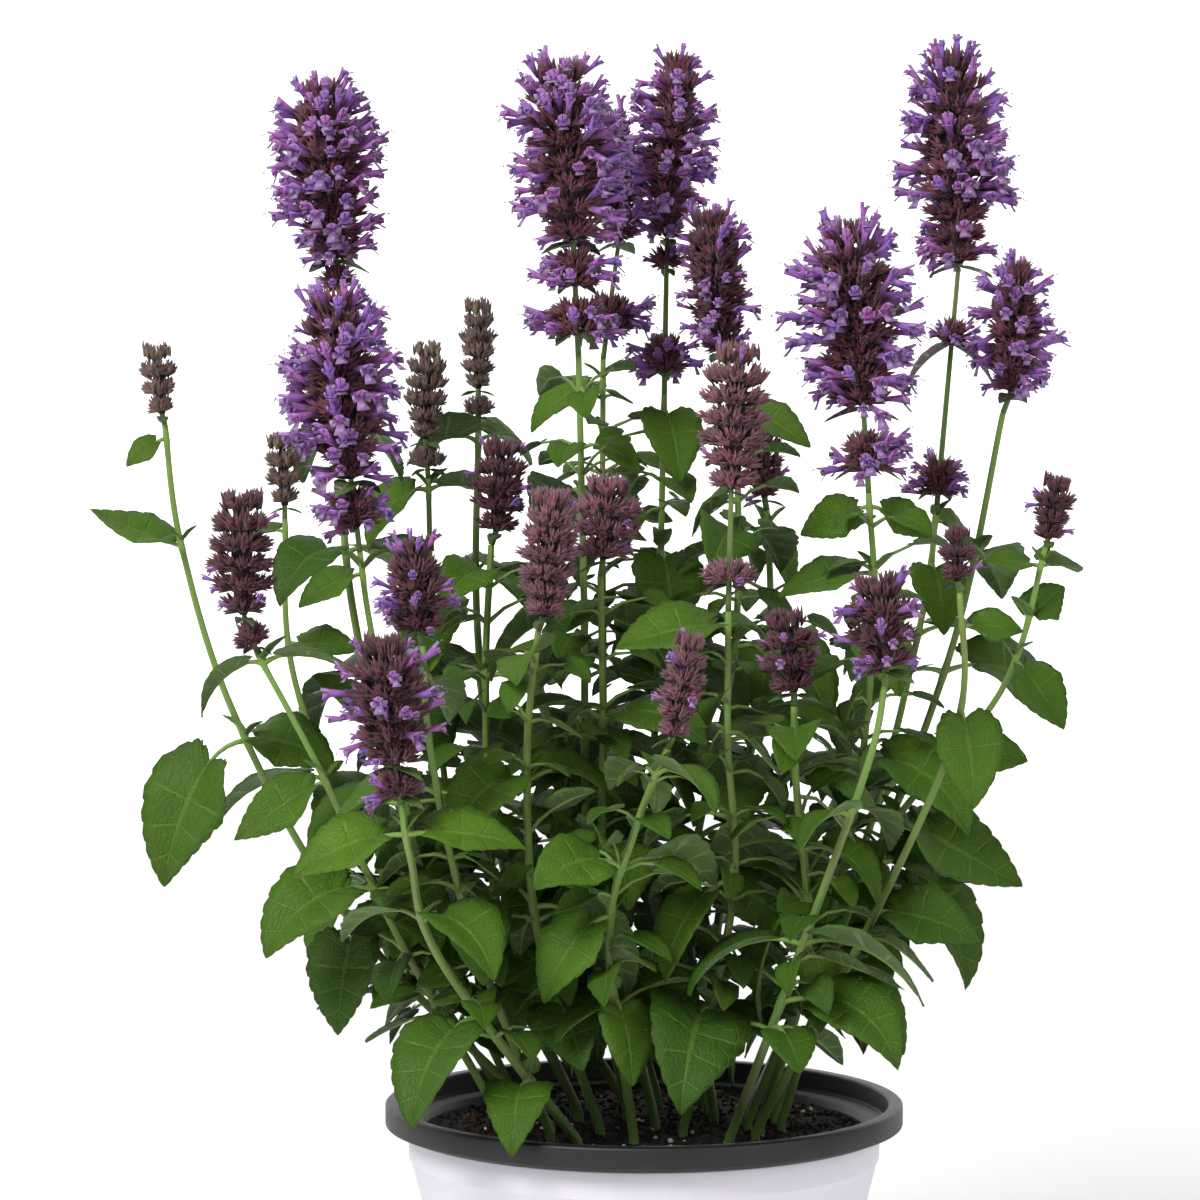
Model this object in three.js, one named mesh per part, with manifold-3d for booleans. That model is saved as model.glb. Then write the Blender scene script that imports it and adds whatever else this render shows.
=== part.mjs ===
// Potted giant hyssop: a clump of leafy square stems, each with a flower spike,
// in a black grow pot that hangs in a white cover pot.
// Millimetres, +Z up. The origin is the middle of the cover pot's flat base.
import * as THREE from 'three';
import { mergeVertices } from 'three/addons/utils/BufferGeometryUtils.js';
import Module from 'manifold-3d';

const wasm = await Module();
wasm.setup();

// Pots
const GAP = 0.3;
const SIDES = 26;
const COVER_HEIGHT = 125;
const COVER_FOOT_RADIUS = 60;
const COVER_SLOPE = 0.1991;
const COVER_FLARE = 0.000223;
const COVER_WALL = 1.8;
const COVER_FLOOR = 2.5;
const COVER_FOOT_EDGE = 1.5;
const COLLAR_Z = 114;
const COLLAR_SLOPE = 0.04;
const COLLAR_STEP = 0.7;
const COLLAR_RISE = 0.8;
const RIM_TOP = 135;
const RIM_BAND = 8;
const RIM_RADIUS = 95;
const RIM_INNER_RADIUS = 89.7;
const RIM_LEG = 1.8;
const RIM_EDGE = 1;
const RIM_DRAFT = 0.4;
const SHOULDER_EDGE = 1.5;
const GROW_WALL = 1.5;
const GROW_CLEARANCE = 1;
const GROW_BASE_Z = 6;
const DRAIN_HOLES = 4;
const DRAIN_RADIUS = 5;
const DRAIN_CIRCLE = 38;
const DRILL_LENGTH = 8;
const DRILL_SIDES = 8;

// Soil
const SOIL_TOP = 125;
const SOIL_BUMP = 1.6;
const SOIL_RINGS = [24, 48, 70];
const SOIL_SECTORS = 16;
const ROOT_DEPTH = 12;
const HOLE_GAP = 0.5;
const HOLE_OVERRUN = 10;
// A ring with fewer sides than the pot's is drawn in a little, so that its corners clear the pot's flats
const SOIL_SHRINK = 0.993;

// Stems: half the diagonal of the square section, at the foot and at the top
const STEM_FOOT_RADIUS = 2.2;
const STEM_TOP_RADIUS = 1.4;
const STALK_RADIUS = 1.3;
const TWIST_STEP = 37;
const SPAN_STEPS = 3;
const UPRIGHT_FOOT = 3;
const FOOT_EASE = 0.3;
const TOP_EASE = 0.5;
const TANGENT_STEP = 2;

// Leaves
const LEAF_THICKNESS = 0.75;
const PETIOLE_WIDTH = 1.9;
const NODE_HEIGHT = 2.6;
const NODE_SPACING = 15;
const PLAIN_RING_SPACING = 23;
const LEAF_SPACING = 45;
const LOWEST_LEAF = 72;
const LEAF_CLEARANCE = 4.1;
const STEM_CLEARANCE = 3.6;
const HEAD_CLEARANCE = 1.5;
const LARGE_BLADE = 38;
const MIDDLE_BLADE = 28;
const CHOSEN_WIDTH = 0.39;
const CHOSEN_FOLD = 12;
const TOP_LEAF = 7;
const SPACING_SPREAD = 0.25;
const AGE_SPAN = 130;
const SEED = 20260;

// One row for each stem: foot on the soil, points it bends through, its end under the flowers,
// the foot and tip of its spike, the spike's radius, its kind, and rings of flowers on the stalk under it
// (share of the way up the stalk, radius). Between the heights in bare it has only the chosen leaves below.
const STEMS = [
  { foot: [-36, 26], via: [[-76, 30, 194], [-110, 50, 316]], end: [-114, 58, 429],
    base: [-116, 58, 445], tip: [-121, 60, 508], radius: 22, kind: 'open', rings: [[0.5, 10]] },
  { foot: [-44, 2], via: [[-78, -12, 210], [-97, -28, 303]], end: [-102, -32, 338],
    base: [-105, -32, 364], tip: [-111, -32, 427], radius: 23, kind: 'open', rings: [[0.55, 14]] },
  { foot: [-34, -14], via: [[-107, -8, 202], [-149, -4, 276], [-169, 0, 339]], end: [-175, 2, 383],
    base: [-176, 2, 387], tip: [-178, 2, 410], radius: 7, kind: 'bud', rings: [], bare: [190, 400] },
  { foot: [-50, -20], via: [[-89, -30, 200], [-116, -38, 260]], end: [-138, -40, 302],
    base: [-143, -40, 316], tip: [-144, -40, 357], radius: 13, kind: 'dark', rings: [[0.4, 7]] },
  { foot: [-26, 38], via: [[-65, 47, 203], [-78, 50, 278]], end: [-81, 52, 362],
    base: [-82, 52, 377], tip: [-81, 52, 411], radius: 8, kind: 'bud', rings: [[0.45, 7]] },
  { foot: [-8, 46], via: [[-50, 66, 201], [-63, 78, 299]], end: [-63, 84, 380],
    base: [-63, 84, 396], tip: [-63, 84, 428], radius: 7, kind: 'bud', rings: [[0.5, 6]] },
  { foot: [-6, 12], via: [[-20, 6, 208], [-22, 2, 319]], end: [-24, 2, 408],
    base: [-26, 2, 450], tip: [-31, 2, 511], radius: 24, kind: 'open', rings: [[0.3, 18], [0.72, 15]] },
  { foot: [6, 36], via: [[-12, 50, 202], [-15, 64, 316]], end: [-15, 70, 407],
    base: [-9, 72, 452], tip: [-12, 72, 498], radius: 17, kind: 'open', rings: [[0.35, 16]] },
  { foot: [24, 24], via: [[4, 36, 204], [6, 44, 302]], end: [8, 48, 394],
    base: [9, 50, 453], tip: [13, 50, 518], radius: 16, kind: 'open', rings: [[0.22, 13], [0.85, 8]] },
  { foot: [26, 8], via: [[17, 14, 207], [34, 22, 303]], end: [34, 26, 397],
    base: [29, 26, 410], tip: [25, 26, 459], radius: 15, kind: 'dusk', rings: [] },
  { foot: [14, -22], via: [[31, -44, 214], [29, -52, 272]], end: [29, -54, 318],
    base: [30, -54, 361], tip: [32, -54, 409], radius: 13, kind: 'faded', rings: [[0.29, 11]] },
  { foot: [38, -6], via: [[71, -16, 218], [82, -26, 306]], end: [80, -28, 359],
    base: [78, -28, 390], tip: [72, -28, 452], radius: 24, kind: 'open', rings: [[0.42, 15]] },
  { foot: [40, 22], via: [[81, 36, 219], [105, 48, 309]], end: [111, 52, 352],
    base: [119, 54, 443], tip: [116, 54, 519], radius: 22, kind: 'open', rings: [[0.1, 13], [0.7, 9]] },
  { foot: [48, 6], via: [[80, 14, 207], [115, 20, 303]], end: [133, 24, 387],
    base: [136, 24, 395], tip: [138, 24, 439], radius: 16, kind: 'open', rings: [] },
  { foot: [50, -10], via: [[82, -14, 225], [129, -16, 287]], end: [145, -14, 339],
    base: [146, -14, 342], tip: [149, -14, 362], radius: 8, kind: 'dark', rings: [], bare: [190, 400] },
  { foot: [40, -26], via: [[84, -44, 214], [110, -58, 280]], end: [110, -60, 325],
    base: [109, -60, 329], tip: [109, -60, 346], radius: 7, kind: 'dark', rings: [], bare: [170, 400] },
  { foot: [30, -42], via: [[57, -66, 207], [77, -82, 268]], end: [82, -86, 294],
    base: [82, -86, 300], tip: [80, -86, 329], radius: 18, kind: 'dusk', rings: [] },
  { foot: [42, -16], via: [[58, -36, 192], [53, -54, 258]], end: [52, -60, 285],
    base: [52, -60, 290], tip: [49, -60, 316], radius: 11, kind: 'dark', rings: [] },
  { foot: [-4, -36], via: [[-13, -64, 203], [-4, -84, 244]], end: [7, -92, 273],
    base: [9, -92, 277], tip: [15, -92, 310], radius: 8, kind: 'faded', rings: [] },
  { foot: [-16, -22], via: [[-38, -40, 200], [-42, -50, 265]], end: [-38, -52, 311],
    base: [-36, -52, 316], tip: [-33, -52, 358], radius: 11, kind: 'faded', rings: [] },
  { foot: [-24, 10], via: [[-53, 4, 201], [-58, 2, 282]], end: [-56, 4, 339],
    base: [-54, 4, 344], tip: [-52, 4, 375], radius: 11, kind: 'dark', rings: [] },
  { foot: [-34, -32], via: [[-62, -52, 205], [-75, -66, 267]], end: [-78, -70, 307],
    base: [-79, -70, 312], tip: [-81, -70, 341], radius: 15, kind: 'dusk', rings: [] },
  { foot: [-24, -46], via: [[-72, -76, 198], [-81, -96, 235]], end: [-84, -102, 255],
    base: [-86, -102, 268], tip: [-90, -102, 309], radius: 18, kind: 'dusk', rings: [[0.4, 12]] },
  { foot: [22, 42], via: [[30, 58, 201], [48, 74, 292]], end: [48, 80, 349],
    base: [47, 80, 354], tip: [46, 80, 386], radius: 9, kind: 'dark', rings: [] },
  { foot: [-48, 16], via: [[-98, 28, 205], [-131, 44, 286]], end: [-135, 50, 347],
    base: [-135, 50, 352], tip: [-136, 50, 377], radius: 7, kind: 'bud', rings: [] },
  { foot: [4, -6], via: [[-14, -12, 210], [-15, -20, 277]], end: [-16, -24, 329],
    base: [-15, -24, 335], tip: [-13, -24, 362], radius: 14, kind: 'faded', rings: [] },
];

// Leaves placed one by one, where they make the outline: number of the stem, height of the node,
// heading (0 is +X, 90 is away, 270 is to the front), rise of the petiole, of the blade's foot and of its
// tip,
// turn about the midrib, petiole length, blade length.
const CHOSEN_LEAVES = [
  { stem: 3, z: 378, heading: 12, rise: [35, 35, 20], turn: 50, petiole: 4, blade: 17 },
  { stem: 3, z: 378, heading: 190, rise: [-10, -30, -50], turn: -60, petiole: 4, blade: 14 },
  { stem: 3, z: 339, heading: 178, rise: [10, 15, 30], turn: -25, petiole: 4, blade: 32 },
  { stem: 3, z: 268, heading: 186, rise: [-5, -55, -84], turn: -72, petiole: 15, blade: 49, width: 0.34 },
  { stem: 3, z: 268, heading: 352, rise: [20, 0, -45], turn: 50, petiole: 4, blade: 32 },
  { stem: 3, z: 200, heading: 245, rise: [-30, -60, -85], turn: 0, petiole: 5, blade: 36 },
  { stem: 3, z: 200, heading: 340, rise: [-20, -60, -85], turn: 30, petiole: 6, blade: 36 },
  { stem: 23, z: 176, heading: 236, rise: [10, -20, -80], turn: 0, petiole: 14, blade: 42 },
  { stem: 23, z: 152, heading: 262, rise: [10, -5, -85], turn: 0, petiole: 18, blade: 30 },
  { stem: 23, z: 244, heading: 184, rise: [5, -10, -40], turn: -40, petiole: 8, blade: 34 },
  { stem: 23, z: 244, heading: 4, rise: [10, 0, -20], turn: 30, petiole: 8, blade: 34 },
  { stem: 17, z: 180, heading: 330, rise: [20, 0, -75], turn: 30, petiole: 16, blade: 38 },
  { stem: 16, z: 186, heading: 345, rise: [-10, -40, -70], turn: 30, petiole: 6, blade: 30 },
  { stem: 16, z: 210, heading: 350, rise: [10, -5, -30], turn: 50, petiole: 5, blade: 34 },
  { stem: 15, z: 240, heading: 352, rise: [-5, -30, -28], turn: 40, petiole: 5, blade: 46 },
  { stem: 16, z: 284, heading: 300, rise: [-40, -70, -88], turn: 20, petiole: 4, blade: 32 },
  { stem: 15, z: 264, heading: 0, rise: [5, 0, -20], turn: 60, petiole: 10, blade: 18, width: 0.46 },
  { stem: 15, z: 298, heading: 340, rise: [-30, -50, -60], turn: 45, petiole: 4, blade: 27 },
  { stem: 15, z: 224, heading: 10, rise: [15, 0, -20], turn: 40, petiole: 10, blade: 40 },
  { stem: 13, z: 330, heading: 281, rise: [0, -40, -80], turn: 0, petiole: 5, blade: 28 },
  { stem: 13, z: 346, heading: 8, rise: [15, 5, -10], turn: 60, petiole: 5, blade: 22 },
  { stem: 12, z: 330, heading: 185, rise: [10, -5, -30], turn: -30, petiole: 6, blade: 30 },
  { stem: 12, z: 354, heading: 182, rise: [10, 0, -5], turn: -70, petiole: 5, blade: 22 },
  { stem: 12, z: 354, heading: 2, rise: [10, 0, -20], turn: 60, petiole: 5, blade: 20 },
  { stem: 24, z: 342, heading: 320, rise: [-20, -60, -80], turn: 0, petiole: 4, blade: 22 },
  { stem: 9, z: 335, heading: 282, rise: [0, -50, -80], turn: 0, petiole: 6, blade: 34 },
  { stem: 8, z: 398, heading: 184, rise: [5, -20, -60], turn: -30, petiole: 6, blade: 28 },
  { stem: 2, z: 272, heading: 187, rise: [40, 40, 35], turn: -30, petiole: 4, blade: 31 },
  { stem: 2, z: 330, heading: 190, rise: [0, -20, -40], turn: -40, petiole: 4, blade: 22 },
  { stem: 4, z: 256, heading: 184, rise: [-10, -30, -38], turn: -60, petiole: 5, blade: 34, width: 0.3 },
  { stem: 25, z: 300, heading: 2, rise: [5, 0, -10], turn: 40, petiole: 4, blade: 24 },
  { stem: 16, z: 313, heading: 5, rise: [10, 0, -15], turn: 60, petiole: 4, blade: 18 },
  { stem: 16, z: 313, heading: 185, rise: [10, 0, -15], turn: -60, petiole: 4, blade: 14 },
  { stem: 15, z: 312, heading: 0, rise: [40, 35, 20], turn: 70, petiole: 4, blade: 20 },
  { stem: 15, z: 332, heading: 0, rise: [10, 0, -10], turn: 35, petiole: 5, blade: 19 },
  { stem: 15, z: 332, heading: 180, rise: [15, 10, 0], turn: -40, petiole: 5, blade: 17 },
  { stem: 14, z: 383, heading: 190, rise: [20, 10, -20], turn: -50, petiole: 4, blade: 14 },
  { stem: 10, z: 390, heading: 340, rise: [-10, -25, -35], turn: 30, petiole: 5, blade: 28 },
  { stem: 9, z: 388, heading: 285, rise: [0, -40, -75], turn: 0, petiole: 5, blade: 30 },
  { stem: 7, z: 402, heading: 200, rise: [10, -10, -50], turn: -40, petiole: 5, blade: 24 },
  { stem: 13, z: 346, heading: 190, rise: [10, 0, -20], turn: -40, petiole: 4, blade: 18 },
  { stem: 25, z: 342, heading: 150, rise: [30, 20, -10], turn: -30, petiole: 4, blade: 15 },
  { stem: 11, z: 313, heading: 190, rise: [10, -5, -20], turn: -35, petiole: 5, blade: 36 },
  { stem: 11, z: 313, heading: 10, rise: [10, -5, -30], turn: 35, petiole: 5, blade: 24 },
  { stem: 11, z: 272, heading: 0, rise: [10, 0, 10], turn: 10, petiole: 8, blade: 38 },
  { stem: 19, z: 182, heading: 300, rise: [-20, -60, -85], turn: 0, petiole: 6, blade: 28 },
  { stem: 11, z: 222, heading: 215, rise: [0, -40, -80], turn: 0, petiole: 14, blade: 34 },
  { stem: 18, z: 214, heading: 230, rise: [0, -40, -80], turn: 0, petiole: 14, blade: 36 },
  { stem: 19, z: 212, heading: 200, rise: [0, -40, -75], turn: -40, petiole: 8, blade: 32 },
  { stem: 22, z: 215, heading: 260, rise: [0, -30, -70], turn: 0, petiole: 6, blade: 32 },
  { stem: 20, z: 178, heading: 300, rise: [0, -20, -50], turn: 30, petiole: 8, blade: 34 },
];

// Linear congruential draw in 0..1, the same each run
function drawer(seed) {
  let state = seed >>> 0;
  return () => {
    state = (Math.imul(state, 1664525) + 1013904223) >>> 0;
    return state / 4294967296;
  };
}

// Vector helpers on plain arrays
const add = (a, b, k = 1) => [a[0] + k * b[0], a[1] + k * b[1], a[2] + k * b[2]];
const sub = (a, b) => [a[0] - b[0], a[1] - b[1], a[2] - b[2]];
const dot = (a, b) => a[0] * b[0] + a[1] * b[1] + a[2] * b[2];
const cross = (a, b) => [a[1] * b[2] - a[2] * b[1], a[2] * b[0] - a[0] * b[2], a[0] * b[1] - a[1] * b[0]];
const size = (a) => Math.sqrt(dot(a, a));
const unit = (a) => [a[0] / size(a), a[1] / size(a), a[2] / size(a)];
const mix = (a, b, t) => a + (b - a) * t;
const between = (a, b, t) => [mix(a[0], b[0], t), mix(a[1], b[1], t), mix(a[2], b[2], t)];
const radians = (degrees) => degrees * Math.PI / 180;

// A closed mesh as a solid that can be cut and joined
function solid(vertices, triangles) {
  return new wasm.Manifold(new wasm.Mesh({
    numProp: 3,
    vertProperties: new Float32Array(vertices.flat()),
    triVerts: new Uint32Array(triangles.flat()),
  }));
}

function solidOf(geometry) {
  const bare = geometry.clone();
  bare.deleteAttribute('normal');
  bare.deleteAttribute('uv');
  const merged = mergeVertices(bare, 1e-3);
  const position = merged.attributes.position;
  const vertices = [];
  for (let i = 0; i < position.count; i += 1) {
    vertices.push([position.getX(i), position.getY(i), position.getZ(i)]);
  }
  const triangles = [];
  for (let i = 0; i < merged.index.count; i += 3) {
    const [a, b, c] = [merged.index.getX(i), merged.index.getX(i + 1), merged.index.getX(i + 2)];
    if (a !== b && b !== c && c !== a) triangles.push([a, b, c]);
  }
  return solid(vertices, triangles);
}

function geometryOf(manifold) {
  const mesh = manifold.getMesh();
  const geometry = new THREE.BufferGeometry();
  geometry.setAttribute('position', new THREE.BufferAttribute(new Float32Array(mesh.vertProperties), 3));
  geometry.setIndex(new THREE.BufferAttribute(new Uint32Array(mesh.triVerts), 1));
  geometry.computeVertexNormals();
  return geometry;
}

// A profile of [radius, height] points turned about Z
function turned(profile, sides) {
  const points = profile.map(([radius, z]) => new THREE.Vector2(radius, z));
  return new THREE.LatheGeometry(points, sides).rotateX(Math.PI / 2);
}

// Radius of the cover pot's wall at a height, without the collar's step
const coverRadius = (z) => {
  const low = Math.min(z, COLLAR_Z);
  return COVER_FOOT_RADIUS + COVER_SLOPE * low + COVER_FLARE * low * low + COLLAR_SLOPE * (z - low);
};
const growRadius = (z) => coverRadius(z) - COVER_WALL - GROW_CLEARANCE;
const soilRadius = (z) => growRadius(z) - GROW_WALL - GAP;
// Heights at which the pots and the soil bend, so that their walls stay alike
const WALL_BENDS = [62, COLLAR_Z];
const wallHeights = (low, high) => [low, ...WALL_BENDS, high];

function coverPot() {
  const outside = [COVER_FOOT_EDGE, ...WALL_BENDS].map((z) => [coverRadius(z), z]);
  const heights = wallHeights(COVER_FLOOR, COVER_HEIGHT).reverse();
  const inside = heights.map((z) => [coverRadius(z) - COVER_WALL, z]);
  return turned([
    [0, 0], [COVER_FOOT_RADIUS - COVER_FOOT_EDGE, 0], ...outside,
    [coverRadius(COLLAR_Z) + COLLAR_STEP, COLLAR_Z + COLLAR_RISE],
    [coverRadius(COVER_HEIGHT) + COLLAR_STEP, COVER_HEIGHT],
    ...inside, [0, COVER_FLOOR],
  ], SIDES);
}

// The rim is a hollow band, open below, with a shoulder that hangs on the cover pot's edge
function growPot() {
  const shoulder = COVER_HEIGHT + GAP;
  const skirt = RIM_TOP - RIM_BAND;
  const legOuter = RIM_RADIUS - RIM_LEG;
  const legInner = RIM_INNER_RADIUS + RIM_LEG;
  const outside = wallHeights(GROW_BASE_Z, shoulder).map((z) => [growRadius(z), z]);
  const insideTop = shoulder + GROW_WALL;
  const inside = wallHeights(GROW_BASE_Z + GROW_WALL, insideTop).map((z) => [growRadius(z) - GROW_WALL, z]);
  const body = turned([
    [0, GROW_BASE_Z], ...outside,
    [legInner - SHOULDER_EDGE, shoulder], [legInner, shoulder + SHOULDER_EDGE],
    [legInner, RIM_TOP - RIM_LEG], [legOuter, RIM_TOP - RIM_LEG], [legOuter, skirt], [RIM_RADIUS, skirt],
    [RIM_RADIUS, RIM_TOP - RIM_EDGE], [RIM_RADIUS - RIM_EDGE, RIM_TOP],
    [RIM_INNER_RADIUS + RIM_EDGE, RIM_TOP], [RIM_INNER_RADIUS, RIM_TOP - RIM_EDGE],
    [RIM_INNER_RADIUS - RIM_DRAFT, insideTop + RIM_EDGE],
    ...inside.reverse(), [0, GROW_BASE_Z + GROW_WALL],
  ], SIDES);
  let pot = solidOf(body);
  for (let i = 0; i < DRAIN_HOLES; i += 1) {
    const angle = 2 * Math.PI * i / DRAIN_HOLES;
    const drill = new THREE.CylinderGeometry(DRAIN_RADIUS, DRAIN_RADIUS, DRILL_LENGTH, DRILL_SIDES);
    drill.rotateX(Math.PI / 2);
    drill.translate(DRAIN_CIRCLE * Math.cos(angle), DRAIN_CIRCLE * Math.sin(angle), GROW_BASE_Z);
    pot = pot.subtract(solidOf(drill));
  }
  return geometryOf(pot);
}

// Soil with an uneven top, drawn ring by ring
function soilBody(stems) {
  const draw = drawer(SEED + 7);
  const bottom = GROW_BASE_Z + GROW_WALL + GAP;
  const levels = wallHeights(bottom, SOIL_TOP);
  const vertices = [[0, 0, bottom]];
  const ringAt = (radius, z, bump) => {
    const first = vertices.length;
    for (let j = 0; j < SOIL_SECTORS; j += 1) {
      const angle = 2 * Math.PI * j / SOIL_SECTORS;
      const rise = bump ? SOIL_BUMP * (2 * draw() - 1) : 0;
      vertices.push([radius * Math.cos(angle), radius * Math.sin(angle), z + rise]);
    }
    return first;
  };
  const rings = levels.map((z) => ringAt(SOIL_SHRINK * soilRadius(z), z, false));
  for (const radius of [...SOIL_RINGS].reverse()) rings.push(ringAt(radius, SOIL_TOP, true));
  vertices.push([0, 0, SOIL_TOP]);
  const triangles = [];
  for (let j = 0; j < SOIL_SECTORS; j += 1) {
    const k = (j + 1) % SOIL_SECTORS;
    triangles.push([0, rings[0] + k, rings[0] + j]);
    for (let i = 0; i + 1 < rings.length; i += 1) {
      triangles.push([rings[i] + j, rings[i] + k, rings[i + 1] + k]);
      triangles.push([rings[i] + j, rings[i + 1] + k, rings[i + 1] + j]);
    }
    triangles.push([rings[rings.length - 1] + j, rings[rings.length - 1] + k, vertices.length - 1]);
  }
  let soil = solid(vertices, triangles);
  const side = 2 * (STEM_FOOT_RADIUS / Math.SQRT2 + HOLE_GAP);
  const depth = ROOT_DEPTH + GAP + HOLE_OVERRUN;
  stems.forEach((stem, index) => {
    const hole = new THREE.BoxGeometry(side, side, depth).rotateZ(radians(twistOf(index + 1)));
    hole.translate(stem.foot[0], stem.foot[1], SOIL_TOP + HOLE_OVERRUN - depth / 2);
    soil = soil.subtract(solidOf(hole));
  });
  return geometryOf(soil);
}

// A stem's line: straight down in the soil, then smooth through its points, with the way run at each point
function stemPath(stem) {
  const ground = [stem.foot[0], stem.foot[1], SOIL_TOP + UPRIGHT_FOOT];
  const knots = [ground, ...stem.via, stem.end];
  const count = knots.length;
  const all = [add(knots[0], sub(knots[0], knots[1]), FOOT_EASE), ...knots,
    add(knots[count - 1], sub(knots[count - 1], knots[count - 2]), TOP_EASE)];
  const points = [[stem.foot[0], stem.foot[1], SOIL_TOP - ROOT_DEPTH], ground];
  for (let i = 1; i < count; i += 1) {
    for (let j = 1; j <= SPAN_STEPS; j += 1) {
      points.push(splinePoint(all[i - 1], all[i], all[i + 1], all[i + 2], j / SPAN_STEPS));
    }
  }
  const run = [0];
  for (let i = 1; i < points.length; i += 1) run.push(run[i - 1] + size(sub(points[i], points[i - 1])));
  return { points, run, whole: run[run.length - 1] };
}

function splinePoint(p0, p1, p2, p3, t) {
  return [0, 1, 2].map((k) => 0.5 * (2 * p1[k] + (p2[k] - p0[k]) * t
    + (2 * p0[k] - 5 * p1[k] + 4 * p2[k] - p3[k]) * t * t
    + (3 * p1[k] - p0[k] - 3 * p2[k] + p3[k]) * t * t * t));
}

function pointAt(path, way) {
  let i = 1;
  while (i < path.run.length - 1 && path.run[i] < way) i += 1;
  const share = (way - path.run[i - 1]) / (path.run[i] - path.run[i - 1]);
  return between(path.points[i - 1], path.points[i], share);
}

// How far along a path it passes a height
function wayAtHeight(path, z) {
  let i = 1;
  while (i < path.points.length - 1 && path.points[i][2] < z) i += 1;
  const share = (z - path.points[i - 1][2]) / (path.points[i][2] - path.points[i - 1][2]);
  return mix(path.run[i - 1], path.run[i], share);
}

// The sides of a square rod face twist, twist + 90 and so on. Corner k lies 45 degrees before side k.
function ringCorners(path, way, radius, twist) {
  const centre = pointAt(path, way);
  const along = unit(sub(pointAt(path, way + TANGENT_STEP), pointAt(path, way - TANGENT_STEP)));
  const right = unit(cross([0, 1, 0], along));
  const back = cross(along, right);
  return [-45, 45, 135, 225].map((turn) => {
    const angle = radians(twist + turn);
    return add(add(centre, right, radius * Math.cos(angle)), back, radius * Math.sin(angle));
  });
}

// A square stem with its leaves grown out of its sides, as one closed body
function stemBody(path, leaves, twist) {
  const nodes = [...new Set(leaves.map((leaf) => leaf.way))];
  const plain = path.run.filter((way, i) => i < 2
    || nodes.every((node) => Math.abs(way - node) > PLAIN_RING_SPACING));
  const half = NODE_HEIGHT / 2;
  const ways = [...plain, ...nodes.map((way) => way - half), ...nodes.map((way) => way + half)];
  ways.sort((a, b) => a - b);
  const vertices = [];
  for (const way of ways) {
    const radius = mix(STEM_FOOT_RADIUS, STEM_TOP_RADIUS, way / path.whole);
    vertices.push(...ringCorners(path, way, radius, twist));
  }
  const last = vertices.length - 4;
  const triangles = [[0, 3, 2], [0, 2, 1], [last, last + 1, last + 2], [last, last + 2, last + 3]];
  for (let i = 0; i < ways.length - 1; i += 1) {
    for (let side = 0; side < 4; side += 1) {
      const [low, high] = [4 * i, 4 * i + 4];
      const next = (side + 1) % 4;
      const grown = (other) => other.side === side && Math.abs(ways[i] + half - other.way) < 0.01;
      const leaf = leaves.find(grown);
      if (leaf) {
        growLeaf(vertices, triangles, leaf, [high + next, low + next], [high + side, low + side]);
      } else {
        triangles.push([low + side, low + next, high + next], [low + side, high + next, high + side]);
      }
    }
  }
  return solid(vertices, triangles);
}

// Outline of half a leaf: share of the blade's length, share of its half width.
// Each tooth is a high point and the notch above it.
const OUTLINES = {
  large: [[-0.08, 0.55], [0.16, 1], [0.32, 0.9], [0.56, 0.9], [0.74, 0.58]],
  middle: [[-0.07, 0.58], [0.24, 1], [0.44, 0.9], [0.72, 0.64]],
  small: [[-0.03, 0.62], [0.36, 1], [0.6, 0.72]],
};
const RIB_STOPS = { large: [0.36, 0.7], middle: [0.5], small: [0.5] };

// Share of the blade by which its turn about the midrib is complete
const TURN_DONE = 0.35;

// A place on a leaf, all in mm: along from its root, across from its midrib, lift from its middle layer
function leafPoint(leaf, along, across, lift) {
  const onBlade = Math.max(along - leaf.petiole, 0);
  const onPetiole = Math.min(along, leaf.petiole);
  const [rise0, rise1, rise2] = leaf.rise.map(radians);
  const heading = [Math.cos(radians(leaf.heading)), Math.sin(radians(leaf.heading)), 0];
  const chord = (start, end, whole, part) => {
    const angle = (share) => mix(start, end, share);
    const middle = angle(part / whole / 2);
    return [part * Math.cos(middle), part * Math.sin(middle), angle(part / whole)];
  };
  const [x0, z0, angle0] = chord(rise0, rise1, leaf.petiole, onPetiole);
  const [x1, z1, angle1] = chord(rise1, rise2, leaf.blade, onBlade);
  const angle = onBlade > 0 ? angle1 : angle0;
  const rib = add(add(leaf.root, heading, x0 + x1), [0, 0, 1], z0 + z1);
  const level = [-heading[1], heading[0], 0];
  const normal = [-Math.sin(angle) * heading[0], -Math.sin(angle) * heading[1], Math.cos(angle)];
  const turn = radians(leaf.turn) * Math.min(1, along / (leaf.petiole + TURN_DONE * leaf.blade));
  const sideways = add(level.map((v) => v * Math.cos(turn)), normal, Math.sin(turn));
  const up = add(normal.map((v) => v * Math.cos(turn)), level, -Math.sin(turn));
  const fold = radians(leaf.fold);
  const reach = Math.abs(across);
  const place = add(add(rib, sideways, across * Math.cos(fold)), up, reach * Math.sin(fold) + lift);
  return place;
}

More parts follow.
